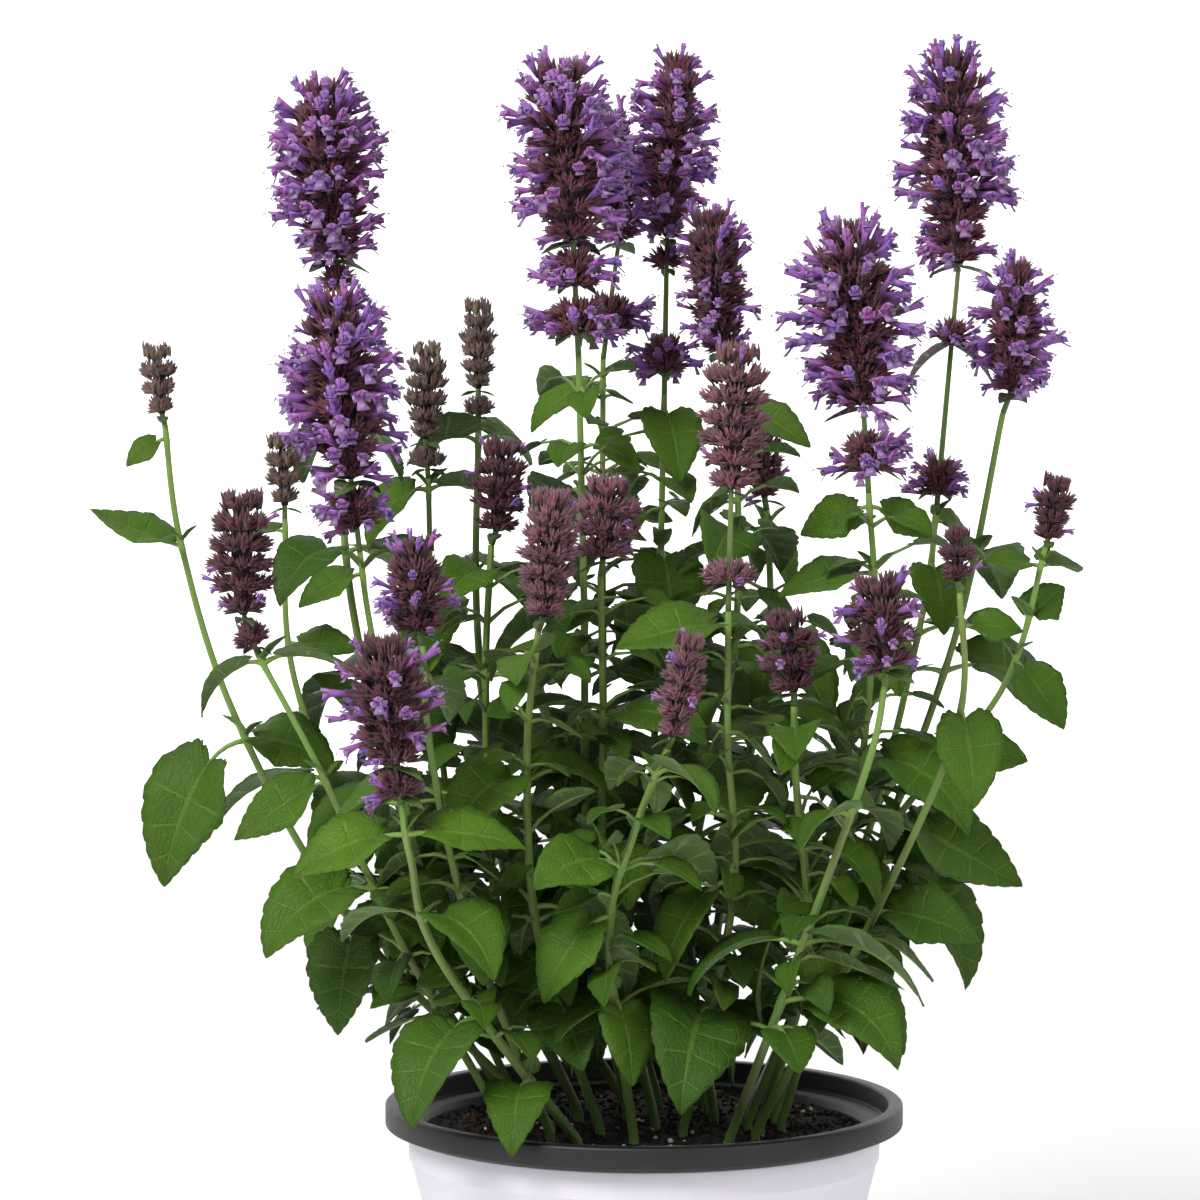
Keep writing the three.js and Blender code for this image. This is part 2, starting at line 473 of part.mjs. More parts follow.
// Adds a leaf to a body: a petiole from the two edges of its root, then two toothed halves folded at the
// midrib. Each place on it is a pair of vertices, one on the upper face and one on the lower.
function growLeaf(vertices, triangles, leaf, rootLeft, rootRight) {
  const outline = OUTLINES[leaf.grade];
  const put = (along, across, back = 0) => {
    const ahead = unit(sub(leafPoint(leaf, along + 1, 0, 0), leafPoint(leaf, along, 0, 0)));
    for (const lift of [LEAF_THICKNESS / 2, -LEAF_THICKNESS / 2]) {
      vertices.push(add(leafPoint(leaf, along, across, lift), ahead, back));
    }
    return [vertices.length - 2, vertices.length - 1];
  };
  const neckLeft = put(leaf.petiole, PETIOLE_WIDTH / 2);
  const neckRight = put(leaf.petiole, -PETIOLE_WIDTH / 2);
  const ribs = RIB_STOPS[leaf.grade].map((t) => put(leaf.petiole + t * leaf.blade, 0));
  const tip = put(leaf.petiole + leaf.blade, 0);
  const edge = (side) => outline.map(([t, w]) => put(
    leaf.petiole + Math.max(t, 0) * leaf.blade, side * w * leaf.halfWidth, Math.min(t, 0) * leaf.blade));
  const left = [neckLeft, ...edge(1), tip];
  const right = [neckRight, ...edge(-1), tip];
  const face = [
    [rootLeft, rootRight, neckRight], [rootLeft, neckRight, neckLeft], [neckLeft, neckRight, ribs[0]],
  ];
  const shares = [[0, ...outline.map(([t]) => Math.max(t, 0)), 1], [0, ...RIB_STOPS[leaf.grade], 1]];
  for (const [a, b, c] of strip(left, [neckLeft, ...ribs, tip], shares)) face.push([a, c, b]);
  for (const [a, b, c] of strip(right, [neckRight, ...ribs, tip], shares)) face.push([a, b, c]);
  for (const [a, b, c] of face) triangles.push([a[0], b[0], c[0]], [a[1], c[1], b[1]]);
  const loop = [rootRight, ...right, ...[...left].reverse().slice(1), rootLeft];
  for (let i = 0; i + 1 < loop.length; i += 1) {
    const [a, b] = [loop[i], loop[i + 1]];
    triangles.push([a[0], a[1], b[1]], [a[0], b[1], b[0]]);
  }
}

// Triangles between two chains that meet at both ends, in order of their shares along the blade
function strip(rimChain, ribChain, [rimShares, ribShares]) {
  const triangles = [];
  let [i, j] = [0, 0];
  while (i + 1 < rimChain.length || j + 1 < ribChain.length) {
    const rimNext = i + 1 < rimChain.length ? rimShares[i + 1] : 2;
    const ribNext = j + 1 < ribChain.length ? ribShares[j + 1] : 2;
    if (rimNext <= ribNext) {
      triangles.push([rimChain[i], rimChain[i + 1], ribChain[j]]);
      i += 1;
    } else {
      triangles.push([rimChain[i], ribChain[j + 1], ribChain[j]]);
      j += 1;
    }
  }
  return triangles.filter(([a, b, c]) => a !== b && b !== c && c !== a);
}

// Points spread over a leaf, to test what it would touch. The first of them, near the leaf's own stem,
// aren't held against that stem.
const OWN_STEM_SAMPLES = 23;

function leafSamples(leaf) {
  const samples = [];
  for (const share of [0.45, 0.9]) samples.push(leafPoint(leaf, share * leaf.petiole, 0, 0));
  for (let i = 0; i <= 10; i += 1) {
    const t = i / 10;
    const width = leaf.halfWidth * Math.min(1, 0.5 + 3 * t) * Math.min(1, Math.sqrt(1.35 * (1 - t)) + 0.02);
    for (let j = -3; j <= 3; j += 1) {
      samples.push(leafPoint(leaf, leaf.petiole + t * leaf.blade, j / 3 * width, 0));
    }
  }
  return samples;
}

function distanceToSegment(p, a, b) {
  const ab = sub(b, a);
  const t = Math.min(1, Math.max(0, dot(sub(p, a), ab) / dot(ab, ab)));
  return size(sub(p, add(a, ab, t)));
}

const centreOf = (points) => {
  const low = [0, 1, 2].map((k) => Math.min(...points.map((p) => p[k])));
  const high = [0, 1, 2].map((k) => Math.max(...points.map((p) => p[k])));
  const centre = between(low, high, 0.5);
  return [centre, size(sub(high, centre))];
};

// A leaf may hang outside the rim, but no lower than this
const LOWEST_TIP = 40;

function touchesPot(p) {
  const radius = Math.hypot(p[0], p[1]);
  if (p[2] > RIM_TOP + LEAF_CLEARANCE) return false;
  if (radius > RIM_RADIUS + LEAF_CLEARANCE) return p[2] < LOWEST_TIP;
  return radius > soilRadius(SOIL_TOP) - LEAF_CLEARANCE / 2 || p[2] < SOIL_TOP + LEAF_CLEARANCE + 1;
}

// True where a leaf is clear of the pot, the stems, the spikes and the leaves placed so far
function isClear(leaf, samples, bars, placed) {
  if (samples.some(touchesPot)) return false;
  const [centre, radius] = centreOf(samples);
  for (const bar of bars) {
    if (distanceToSegment(centre, bar.a, bar.b) > radius + bar.radius) continue;
    const first = bar.stem === leaf.stem ? OWN_STEM_SAMPLES : 0;
    for (let i = first; i < samples.length; i += 1) {
      if (distanceToSegment(samples[i], bar.a, bar.b) < bar.radius) return false;
    }
  }
  for (const other of placed) {
    if (size(sub(centre, other.centre)) > radius + other.radius + LEAF_CLEARANCE) continue;
    for (const p of samples) {
      for (const q of other.samples) {
        if (size(sub(p, q)) < LEAF_CLEARANCE) return false;
      }
    }
  }
  return true;
}

// Changes tried in turn until a leaf is clear: heading, rise, scale
const TRIES = [];
for (const scale of [1, 0.86, 0.74]) {
  for (const rise of [0, -22, 18]) {
    for (const heading of [0, 14, -14, 28, -28, 44, -44]) TRIES.push([heading, rise, scale]);
  }
}

function tryLeaf(leaf, bars, placed) {
  for (const [heading, rise, scale] of TRIES) {
    const tried = {
      ...leaf,
      heading: leaf.heading + heading,
      rise: [leaf.rise[0] + rise / 2, leaf.rise[1] + rise, leaf.rise[2] + rise],
      blade: leaf.blade * scale,
      halfWidth: leaf.halfWidth * scale,
    };
    const samples = leafSamples(tried);
    if (isClear(tried, samples, bars, placed)) {
      const [centre, radius] = centreOf(samples);
      placed.push({ ...tried, samples, centre, radius });
      return;
    }
  }
}

const gradeOf = (blade) => (blade > LARGE_BLADE ? 'large' : blade > MIDDLE_BLADE ? 'middle' : 'small');

const sideNearest = (heading, twist) => ((Math.round((heading - twist) / 90) % 4) + 4) % 4;

// Every leaf of the plant: the chosen ones first, then opposite pairs, each turned a quarter from the last
function placeLeaves(stems, paths, bars) {
  const placed = [];
  for (const chosen of CHOSEN_LEAVES) {
    const path = paths[chosen.stem - 1];
    const way = wayAtHeight(path, chosen.z);
    tryLeaf({
      ...chosen,
      way,
      root: pointAt(path, way),
      side: sideNearest(chosen.heading, twistOf(chosen.stem)),
      halfWidth: chosen.blade * (chosen.width ?? CHOSEN_WIDTH),
      fold: CHOSEN_FOLD,
      grade: gradeOf(chosen.blade),
    }, bars, placed);
  }
  stems.forEach((stem, index) => {
    const taken = CHOSEN_LEAVES.filter((leaf) => leaf.stem === index + 1)
      .map((leaf) => wayAtHeight(paths[index], leaf.z));
    const draw = drawer(SEED + 100 * (index + 1));
    const pairs = Math.round((stem.end[2] - SOIL_TOP - LOWEST_LEAF) / LEAF_SPACING);
    const bare = stem.bare ?? [0, 0];
    for (let pair = 0; pair <= pairs; pair += 1) {
      const back = TOP_LEAF + LEAF_SPACING * (pair + SPACING_SPREAD * (draw() - 0.5));
      const way = paths[index].whole - back;
      const root = pointAt(paths[index], way);
      const free = taken.every((other) => Math.abs(other - way) > NODE_SPACING)
        && (root[2] < bare[0] || root[2] > bare[1]);
      for (const half of [0, 2]) {
        const side = (pair % 2) + half;
        const leaf = ruledLeaf(draw, Math.min(1, back / AGE_SPAN), twistOf(index + 1) + 90 * side);
        if (free) tryLeaf({ ...leaf, stem: index + 1, way, root, side }, bars, placed);
      }
    }
  });
  return placed;
}

// Leaves set by rule: each range is from a young leaf at the top of a stem to an old one low on it,
// or from the least draw to the greatest
const RULED = {
  blade: [27, 40],
  bladeScale: [0.86, 1.14],
  droop: [10, 45],
  droopMore: 30,
  headingSpread: 24,
  petioleRise: [40, 20],
  footRise: 20,
  tipRise: -20,
  turnSpread: 90,
  petiole: [6, 12],
  petioleScale: [0.8, 1.3],
  width: [0.38, 0.44],
  fold: [8, 20],
};

function ruledLeaf(draw, age, outward) {
  const [a, b, c, d, e] = [draw(), draw(), draw(), draw(), draw()];
  const blade = mix(...RULED.blade, age) * mix(...RULED.bladeScale, a);
  const droop = mix(...RULED.droop, age) + RULED.droopMore * b;
  return {
    heading: outward + RULED.headingSpread * (c - 0.5),
    rise: [mix(...RULED.petioleRise, age), RULED.footRise - droop / 2, RULED.tipRise - droop],
    turn: RULED.turnSpread * (d - 0.5),
    petiole: mix(...RULED.petiole, age) * mix(...RULED.petioleScale, e),
    blade,
    halfWidth: blade * mix(...RULED.width, e),
    fold: mix(...RULED.fold, b),
    grade: gradeOf(blade),
  };
}

// Heading of a stem's first side: that of its first chosen leaf, or a quarter turn shared out by number
function twistOf(stem) {
  const chosen = CHOSEN_LEAVES.find((leaf) => leaf.stem === stem);
  return chosen ? chosen.heading : (stem * TWIST_STEP) % 90;
}

// Flower kinds: how far the flowers stand out of the core, as a share of the radius, and their colour
const KINDS = {
  open: { core: 0.5, tilt: 0.25, colour: 0x6b4a9e },
  dusk: { core: 0.56, tilt: 0.2, colour: 0x573a78 },
  dark: { core: 0.62, tilt: 0.15, colour: 0x4a2a3e },
  faded: { core: 0.6, tilt: 0.1, colour: 0x7a4c5c },
  bud: { core: 0.64, tilt: 0.3, colour: 0x5c5240 },
};

// Flowers round a spike and the height of a row, by the spike's radius
const FLOWER_GRADES = [
  { over: 20, around: 9, spacing: 9.2 },
  { over: 13.5, around: 8, spacing: 8.6 },
  { over: 8.5, around: 7, spacing: 7.4 },
  { over: 0, around: 6, spacing: 6 },
];

// Extra upward lean of the flowers at the top of a spike
const CROWN_TILT = 0.9;

// A flower stands off its place by a share of its spacing, and reaches a share of the spike's radius
const FLOWER_SWAY = 0.3;
const FLOWER_REACH = [0.72, 1.17];

// Rings of flowers on a stalk: rows in one ring, their distance, and the slopes above and below them
const DOUBLE_RING = 12;
const RING_ROW = 2.6;
const RING_SLOPE = [3.4, 2.6];
const RING_CORE = 0.4;

// The spike's outline is a part of a half circle, flattened: where it starts, how much of it, and how flat
const SPIKE_START = 0.13;
const SPIKE_PART = 0.72;
const SPIKE_FLATNESS = 0.6;
const ROW_MARGIN = 0.3;

// Rows of a spike from the stem's end to its tip: how far up, how far out, and whether flowers stand on it
function flowerRows(stem, kind) {
  const grade = FLOWER_GRADES.find((other) => stem.radius > other.over);
  const stalk = size(sub(stem.base, stem.end));
  const spike = size(sub(stem.tip, stem.base));
  const rows = [{ height: GAP, reach: STALK_RADIUS, flowers: 0 }];
  for (const [share, radius] of stem.rings) {
    const middle = share * stalk;
    const floors = radius > DOUBLE_RING ? [-RING_ROW, RING_ROW] : [0];
    const below = middle + floors[0] - RING_SLOPE[0];
    const above = middle + floors[floors.length - 1] + RING_SLOPE[1];
    rows.push({ height: below, reach: STALK_RADIUS, flowers: 0 });
    for (const floor of floors) {
      rows.push({ height: middle + floor, reach: RING_CORE * radius, flowers: radius });
    }
    rows.push({ height: above, reach: STALK_RADIUS, flowers: 0 });
  }
  if (stem.rings.length > 0) rows.push({ height: stalk - 1, reach: STALK_RADIUS, flowers: 0 });
  const count = Math.round(spike / grade.spacing);
  for (let i = 0; i <= count; i += 1) {
    const share = (i + ROW_MARGIN) / (count + 2 * ROW_MARGIN);
    const bulge = Math.pow(Math.sin(Math.PI * (SPIKE_START + SPIKE_PART * share)), SPIKE_FLATNESS);
    const flowers = i < count ? stem.radius * bulge : 0;
    const reach = kind.core * stem.radius * bulge;
    rows.push({ height: stalk + share * spike, reach, flowers, crown: share });
  }
  return { rows, around: grade.around };
}

// A spike as one closed body: a core on its stalk, with a pointed flower on each place of staggered rows
function headBody(stem, index) {
  const draw = drawer(SEED + 5000 + index);
  const kind = KINDS[stem.kind];
  const { rows, around } = flowerRows(stem, kind);
  const stalk = size(sub(stem.base, stem.end));
  const axis = unit(sub(stem.tip, stem.base));
  const stalkAxis = unit(sub(stem.base, stem.end));
  const right = unit(cross([0, 1, 0], axis));
  const back = cross(axis, right);
  const place = (height, angle, reach) => {
    const centre = height < stalk ? add(stem.end, stalkAxis, height) : add(stem.base, axis, height - stalk);
    return add(add(centre, right, reach * Math.cos(angle)), back, reach * Math.sin(angle));
  };
  const vertices = [place(rows[0].height, 0, 0), stem.tip];
  const at = (row, j) => 2 + row * around + ((j % around) + around) % around;
  const angleOf = (row, j) => 2 * Math.PI * (j + (row % 2) / 2) / around;
  rows.forEach(({ height, reach }, row) => {
    for (let j = 0; j < around; j += 1) vertices.push(place(height, angleOf(row, j), reach));
  });
  const last = rows.length - 1;
  const triangles = [];
  for (let j = 0; j < around; j += 1) {
    triangles.push([0, at(0, j + 1), at(0, j)], [at(0, j), at(0, j + 1), at(1, j)]);
    triangles.push([1, at(last, j), at(last, j + 1)]);
    triangles.push([at(last, j + 1), at(last, j), at(last - 1, j + last % 2)]);
  }
  for (let row = 0; row + 2 <= last; row += 1) {
    const middle = rows[row + 1];
    const shift = row % 2;
    for (let j = 0; j < around; j += 1) {
      const [low, high] = [at(row, j), at(row + 2, j)];
      const [left, next] = [at(row + 1, j + shift - 1), at(row + 1, j + shift)];
      if (middle.flowers > 0) {
        const angle = angleOf(row, j) + FLOWER_SWAY * (draw() - 0.5) * 2 * Math.PI / around;
        const reach = mix(middle.reach, middle.flowers, mix(...FLOWER_REACH, draw()));
        const lift = (kind.tilt + CROWN_TILT * (middle.crown ?? 0) ** 2) * (reach - middle.reach);
        const peak = vertices.length;
        vertices.push(place(middle.height + lift, angle, reach));
        triangles.push([low, next, peak], [next, high, peak], [high, left, peak], [left, low, peak]);
      } else {
        triangles.push([low, next, left], [next, high, left]);
      }
    }
  }
  return solid(vertices, triangles);
}

// What a leaf must stay clear of: stems, spikes and rings, as bars with a radius
function clearanceBars(stems, paths) {
  const bars = [];
  stems.forEach((stem, index) => {
    const { points } = paths[index];
    for (let i = 1; i < points.length; i += 1) {
      bars.push({ stem: index + 1, a: points[i - 1], b: points[i], radius: STEM_CLEARANCE });
    }
    bars.push({ stem: index + 1, a: stem.end, b: stem.base, radius: STEM_CLEARANCE });
    bars.push({ stem: 0, a: stem.base, b: stem.tip, radius: stem.radius + HEAD_CLEARANCE });
    for (const [share, radius] of stem.rings) {
      const middle = between(stem.end, stem.base, share);
      bars.push({ stem: 0, a: middle, b: add(middle, [0, 0, 1], 2), radius: radius + HEAD_CLEARANCE });
    }
  });
  return bars;
}

const group = new THREE.Group();

function show(name, geometry, colour, roughness) {
  const material = new THREE.MeshStandardMaterial({ color: colour, roughness, metalness: 0 });
  const mesh = new THREE.Mesh(geometry, material);
  mesh.name = name;
  group.add(mesh);
}

const twoDigits = (number) => String(number).padStart(2, '0');
const paths = STEMS.map(stemPath);
const leaves = placeLeaves(STEMS, paths, clearanceBars(STEMS, paths));

show('cover_pot', coverPot(), 0xe6e4ea, 0.35);
show('grow_pot', growPot(), 0x232326, 0.5);
show('soil', soilBody(STEMS), 0x1c1510, 0.95);
STEMS.forEach((stem, index) => {
  const own = leaves.filter((leaf) => leaf.stem === index + 1);
  const body = stemBody(paths[index], own, twistOf(index + 1));
  show('stem_' + twoDigits(index + 1), geometryOf(body), 0x47802a, 0.6);
  show('head_' + twoDigits(index + 1), geometryOf(headBody(stem, index)), KINDS[stem.kind].colour, 0.7);
});

export default group;
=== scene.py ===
import math
from collections import namedtuple

import bpy
import numpy as np
from mathutils import Matrix, Vector, noise


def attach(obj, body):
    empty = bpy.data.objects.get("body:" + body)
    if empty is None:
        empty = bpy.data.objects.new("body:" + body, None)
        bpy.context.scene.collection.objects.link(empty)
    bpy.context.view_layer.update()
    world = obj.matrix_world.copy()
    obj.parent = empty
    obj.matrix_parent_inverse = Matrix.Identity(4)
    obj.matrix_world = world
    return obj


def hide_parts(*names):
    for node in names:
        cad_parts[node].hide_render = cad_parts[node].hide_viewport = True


# Looks of a potted giant hyssop: leafy square stems with toothed leaves, spikes of two-lipped flowers,
# peat soil, and a black grow pot hung in a white cover pot.
# Tables and shapes are in millimetres, on the frame's axes. Finished meshes are in metres.
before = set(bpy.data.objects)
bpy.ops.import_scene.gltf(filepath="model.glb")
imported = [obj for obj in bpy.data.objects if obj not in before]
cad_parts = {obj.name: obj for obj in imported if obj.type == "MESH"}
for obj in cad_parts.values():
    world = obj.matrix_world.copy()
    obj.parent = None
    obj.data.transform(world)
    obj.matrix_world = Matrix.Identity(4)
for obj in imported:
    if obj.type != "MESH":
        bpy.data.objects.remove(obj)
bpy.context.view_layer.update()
MM = 0.001

# Pots and soil
GAP = 0.3
SIDES = 144
ARC_STEPS = 4
WALL_STEPS = 8
COVER_HEIGHT = 125
COVER_FOOT_RADIUS = 60
COVER_SLOPE = 0.1991
COVER_FLARE = 0.000223
COVER_WALL = 1.8
COVER_FLOOR = 2.5
COVER_FOOT_EDGE = 1.5
COLLAR_Z = 114
COLLAR_SLOPE = 0.04
COLLAR_STEP = 0.7
COLLAR_RISE = 0.8
RIM_TOP = 135
RIM_BAND = 8
RIM_RADIUS = 95
RIM_INNER_RADIUS = 89.7
RIM_LEG = 1.8
RIM_DRAFT = 0.4
RIM_STEP = 1
GROW_WALL = 1.5
GROW_CLEARANCE = 1
GROW_BASE_Z = 6
DRAIN_HOLES = 4
DRAIN_RADIUS = 5
DRAIN_CIRCLE = 38
DRILL_SIDES = 32
DRILL_REACH = 6
SOIL_TOP = 125
ROOT_DEPTH = 12

# Stems: half the diagonal of the square section, at the foot and at the top
STEM_FOOT_RADIUS = 2.2
STEM_TOP_RADIUS = 1.4
STALK_RADIUS = 1.3
TWIST_STEP = 37
SPAN_STEPS = 3
UPRIGHT_FOOT = 3
FOOT_EASE = 0.3
TOP_EASE = 0.5

# Leaves
NODE_SPACING = 15
LEAF_SPACING = 45
LOWEST_LEAF = 72
LEAF_CLEARANCE = 4.1
STEM_CLEARANCE = 3.6
HEAD_CLEARANCE = 1.5
LOWEST_TIP = 40
OWN_STEM_SAMPLES = 23
CHOSEN_WIDTH = 0.39
CHOSEN_FOLD = 12
TOP_LEAF = 7
SPACING_SPREAD = 0.25
AGE_SPAN = 130
TURN_DONE = 0.35
SEED = 20260

Stem = namedtuple("Stem", "foot via end base tip radius kind rings bare", defaults=[(0, 0)])

# One row for each stem: foot on the soil, points it bends through, its end under the flowers, the foot
# and tip of its spike, the spike's radius, its kind, and rings of flowers on the stalk under it (share of
# the way up the stalk, radius). Between the heights in bare it has only the chosen leaves below.

STEMS = [
    Stem((-36, 26), [(-76, 30, 194), (-110, 50, 316)], (-114, 58, 429),
         (-116, 58, 445), (-121, 60, 508), 22, "open", [(0.5, 10)]),
    Stem((-44, 2), [(-78, -12, 210), (-97, -28, 303)], (-102, -32, 338),
         (-105, -32, 364), (-111, -32, 427), 23, "open", [(0.55, 14)]),
    Stem((-34, -14), [(-107, -8, 202), (-149, -4, 276), (-169, 0, 339)], (-175, 2, 383),
         (-176, 2, 387), (-178, 2, 410), 7, "bud", [], (190, 400)),
    Stem((-50, -20), [(-89, -30, 200), (-116, -38, 260)], (-138, -40, 302),
         (-143, -40, 316), (-144, -40, 357), 13, "dark", [(0.4, 7)]),
    Stem((-26, 38), [(-65, 47, 203), (-78, 50, 278)], (-81, 52, 362),
         (-82, 52, 377), (-81, 52, 411), 8, "bud", [(0.45, 7)]),
    Stem((-8, 46), [(-50, 66, 201), (-63, 78, 299)], (-63, 84, 380),
         (-63, 84, 396), (-63, 84, 428), 7, "bud", [(0.5, 6)]),
    Stem((-6, 12), [(-20, 6, 208), (-22, 2, 319)], (-24, 2, 408),
         (-26, 2, 450), (-31, 2, 511), 24, "open", [(0.3, 18), (0.72, 15)]),
    Stem((6, 36), [(-12, 50, 202), (-15, 64, 316)], (-15, 70, 407),
         (-9, 72, 452), (-12, 72, 498), 17, "open", [(0.35, 16)]),
    Stem((24, 24), [(4, 36, 204), (6, 44, 302)], (8, 48, 394),
         (9, 50, 453), (13, 50, 518), 16, "open", [(0.22, 13), (0.85, 8)]),
    Stem((26, 8), [(17, 14, 207), (34, 22, 303)], (34, 26, 397),
         (29, 26, 410), (25, 26, 459), 15, "dusk", []),
    Stem((14, -22), [(31, -44, 214), (29, -52, 272)], (29, -54, 318),
         (30, -54, 361), (32, -54, 409), 13, "faded", [(0.29, 11)]),
    Stem((38, -6), [(71, -16, 218), (82, -26, 306)], (80, -28, 359),
         (78, -28, 390), (72, -28, 452), 24, "open", [(0.42, 15)]),
    Stem((40, 22), [(81, 36, 219), (105, 48, 309)], (111, 52, 352),
         (119, 54, 443), (116, 54, 519), 22, "open", [(0.1, 13), (0.7, 9)]),
    Stem((48, 6), [(80, 14, 207), (115, 20, 303)], (133, 24, 387),
         (136, 24, 395), (138, 24, 439), 16, "open", []),
    Stem((50, -10), [(82, -14, 225), (129, -16, 287)], (145, -14, 339),
         (146, -14, 342), (149, -14, 362), 8, "dark", [], (190, 400)),
    Stem((40, -26), [(84, -44, 214), (110, -58, 280)], (110, -60, 325),
         (109, -60, 329), (109, -60, 346), 7, "dark", [], (170, 400)),
    Stem((30, -42), [(57, -66, 207), (77, -82, 268)], (82, -86, 294),
         (82, -86, 300), (80, -86, 329), 18, "dusk", []),
    Stem((42, -16), [(58, -36, 192), (53, -54, 258)], (52, -60, 285),
         (52, -60, 290), (49, -60, 316), 11, "dark", []),
    Stem((-4, -36), [(-13, -64, 203), (-4, -84, 244)], (7, -92, 273),
         (9, -92, 277), (15, -92, 310), 8, "faded", []),
    Stem((-16, -22), [(-38, -40, 200), (-42, -50, 265)], (-38, -52, 311),
         (-36, -52, 316), (-33, -52, 358), 11, "faded", []),
    Stem((-24, 10), [(-53, 4, 201), (-58, 2, 282)], (-56, 4, 339),
         (-54, 4, 344), (-52, 4, 375), 11, "dark", []),
    Stem((-34, -32), [(-62, -52, 205), (-75, -66, 267)], (-78, -70, 307),
         (-79, -70, 312), (-81, -70, 341), 15, "dusk", []),
    Stem((-24, -46), [(-72, -76, 198), (-81, -96, 235)], (-84, -102, 255),
         (-86, -102, 268), (-90, -102, 309), 18, "dusk", [(0.4, 12)]),
    Stem((22, 42), [(30, 58, 201), (48, 74, 292)], (48, 80, 349),
         (47, 80, 354), (46, 80, 386), 9, "dark", []),
    Stem((-48, 16), [(-98, 28, 205), (-131, 44, 286)], (-135, 50, 347),
         (-135, 50, 352), (-136, 50, 377), 7, "bud", []),
    Stem((4, -6), [(-14, -12, 210), (-15, -20, 277)], (-16, -24, 329),
         (-15, -24, 335), (-13, -24, 362), 14, "faded", []),
]

# Leaves placed one by one, where they make the outline. The height is that of the node on its stem. A heading
# of 0 is +X, 90 is away and 270 is to the front. Rise is that of the petiole, of the blade's foot and of
# its tip, and turn is about the midrib, all in degrees. Width is that of half the blade, as a share of its
# length.
ChosenLeaf = namedtuple("ChosenLeaf", "stem height heading rise turn petiole blade width",
                        defaults=[CHOSEN_WIDTH])
CHOSEN_LEAVES = [ChosenLeaf(*row) for row in (
    (3, 378, 12, (35, 35, 20), 50, 4, 17),
    (3, 378, 190, (-10, -30, -50), -60, 4, 14),
    (3, 339, 178, (10, 15, 30), -25, 4, 32),
    (3, 268, 186, (-5, -55, -84), -72, 15, 49, 0.34),
    (3, 268, 352, (20, 0, -45), 50, 4, 32),
    (3, 200, 245, (-30, -60, -85), 0, 5, 36),
    (3, 200, 340, (-20, -60, -85), 30, 6, 36),
    (23, 176, 236, (10, -20, -80), 0, 14, 42),
    (23, 152, 262, (10, -5, -85), 0, 18, 30),
    (23, 244, 184, (5, -10, -40), -40, 8, 34),
    (23, 244, 4, (10, 0, -20), 30, 8, 34),
    (17, 180, 330, (20, 0, -75), 30, 16, 38),
    (16, 186, 345, (-10, -40, -70), 30, 6, 30),
    (16, 210, 350, (10, -5, -30), 50, 5, 34),
    (15, 240, 352, (-5, -30, -28), 40, 5, 46),
    (16, 284, 300, (-40, -70, -88), 20, 4, 32),
    (15, 264, 0, (5, 0, -20), 60, 10, 18, 0.46),
    (15, 298, 340, (-30, -50, -60), 45, 4, 27),
    (15, 224, 10, (15, 0, -20), 40, 10, 40),
    (13, 330, 281, (0, -40, -80), 0, 5, 28),
    (13, 346, 8, (15, 5, -10), 60, 5, 22),
    (12, 330, 185, (10, -5, -30), -30, 6, 30),
    (12, 354, 182, (10, 0, -5), -70, 5, 22),
    (12, 354, 2, (10, 0, -20), 60, 5, 20),
    (24, 342, 320, (-20, -60, -80), 0, 4, 22),
    (9, 335, 282, (0, -50, -80), 0, 6, 34),
    (8, 398, 184, (5, -20, -60), -30, 6, 28),
    (2, 272, 187, (40, 40, 35), -30, 4, 31),
    (2, 330, 190, (0, -20, -40), -40, 4, 22),
    (4, 256, 184, (-10, -30, -38), -60, 5, 34, 0.3),
    (25, 300, 2, (5, 0, -10), 40, 4, 24),
    (16, 313, 5, (10, 0, -15), 60, 4, 18),
    (16, 313, 185, (10, 0, -15), -60, 4, 14),
    (15, 312, 0, (40, 35, 20), 70, 4, 20),
    (15, 332, 0, (10, 0, -10), 35, 5, 19),
    (15, 332, 180, (15, 10, 0), -40, 5, 17),
    (14, 383, 190, (20, 10, -20), -50, 4, 14),
    (10, 390, 340, (-10, -25, -35), 30, 5, 28),
    (9, 388, 285, (0, -40, -75), 0, 5, 30),
    (7, 402, 200, (10, -10, -50), -40, 5, 24),
    (13, 346, 190, (10, 0, -20), -40, 4, 18),
    (25, 342, 150, (30, 20, -10), -30, 4, 15),
    (11, 313, 190, (10, -5, -20), -35, 5, 36),
    (11, 313, 10, (10, -5, -30), 35, 5, 24),
    (11, 272, 0, (10, 0, 10), 10, 8, 38),
    (19, 182, 300, (-20, -60, -85), 0, 6, 28),
    (11, 222, 215, (0, -40, -80), 0, 14, 34),
    (18, 214, 230, (0, -40, -80), 0, 14, 36),
    (19, 212, 200, (0, -40, -75), -40, 8, 32),
    (22, 215, 260, (0, -30, -70), 0, 6, 32),
    (20, 178, 300, (0, -20, -50), 30, 8, 34),
)]


# Leaves set by rule: each range is from a young leaf at the top of a stem to an old one low on it,
# or from the least draw to the greatest
RULED = {
    "blade": (27, 40),
    "blade_scale": (0.86, 1.14),
    "droop": (10, 45),
    "droop_more": 30,
    "heading_spread": 24,
    "petiole_rise": (40, 20),
    "foot_rise": 20,
    "tip_rise": -20,
    "turn_spread": 90,
    "petiole": (6, 12),
    "petiole_scale": (0.8, 1.3),
    "width": (0.38, 0.44),
    "fold": (8, 20),
}


def drawer(seed):
    """A linear congruential draw in 0..1, the same each run."""
    state = [seed & 0xFFFFFFFF]

    def draw():
        state[0] = (state[0] * 1664525 + 1013904223) & 0xFFFFFFFF
        return state[0] / 4294967296

    return draw


def mix(low, high, share):
    return low + (high - low) * share


def unit(vector):
    return vector / np.linalg.norm(vector)


# Stems: their lines and their leaves' places


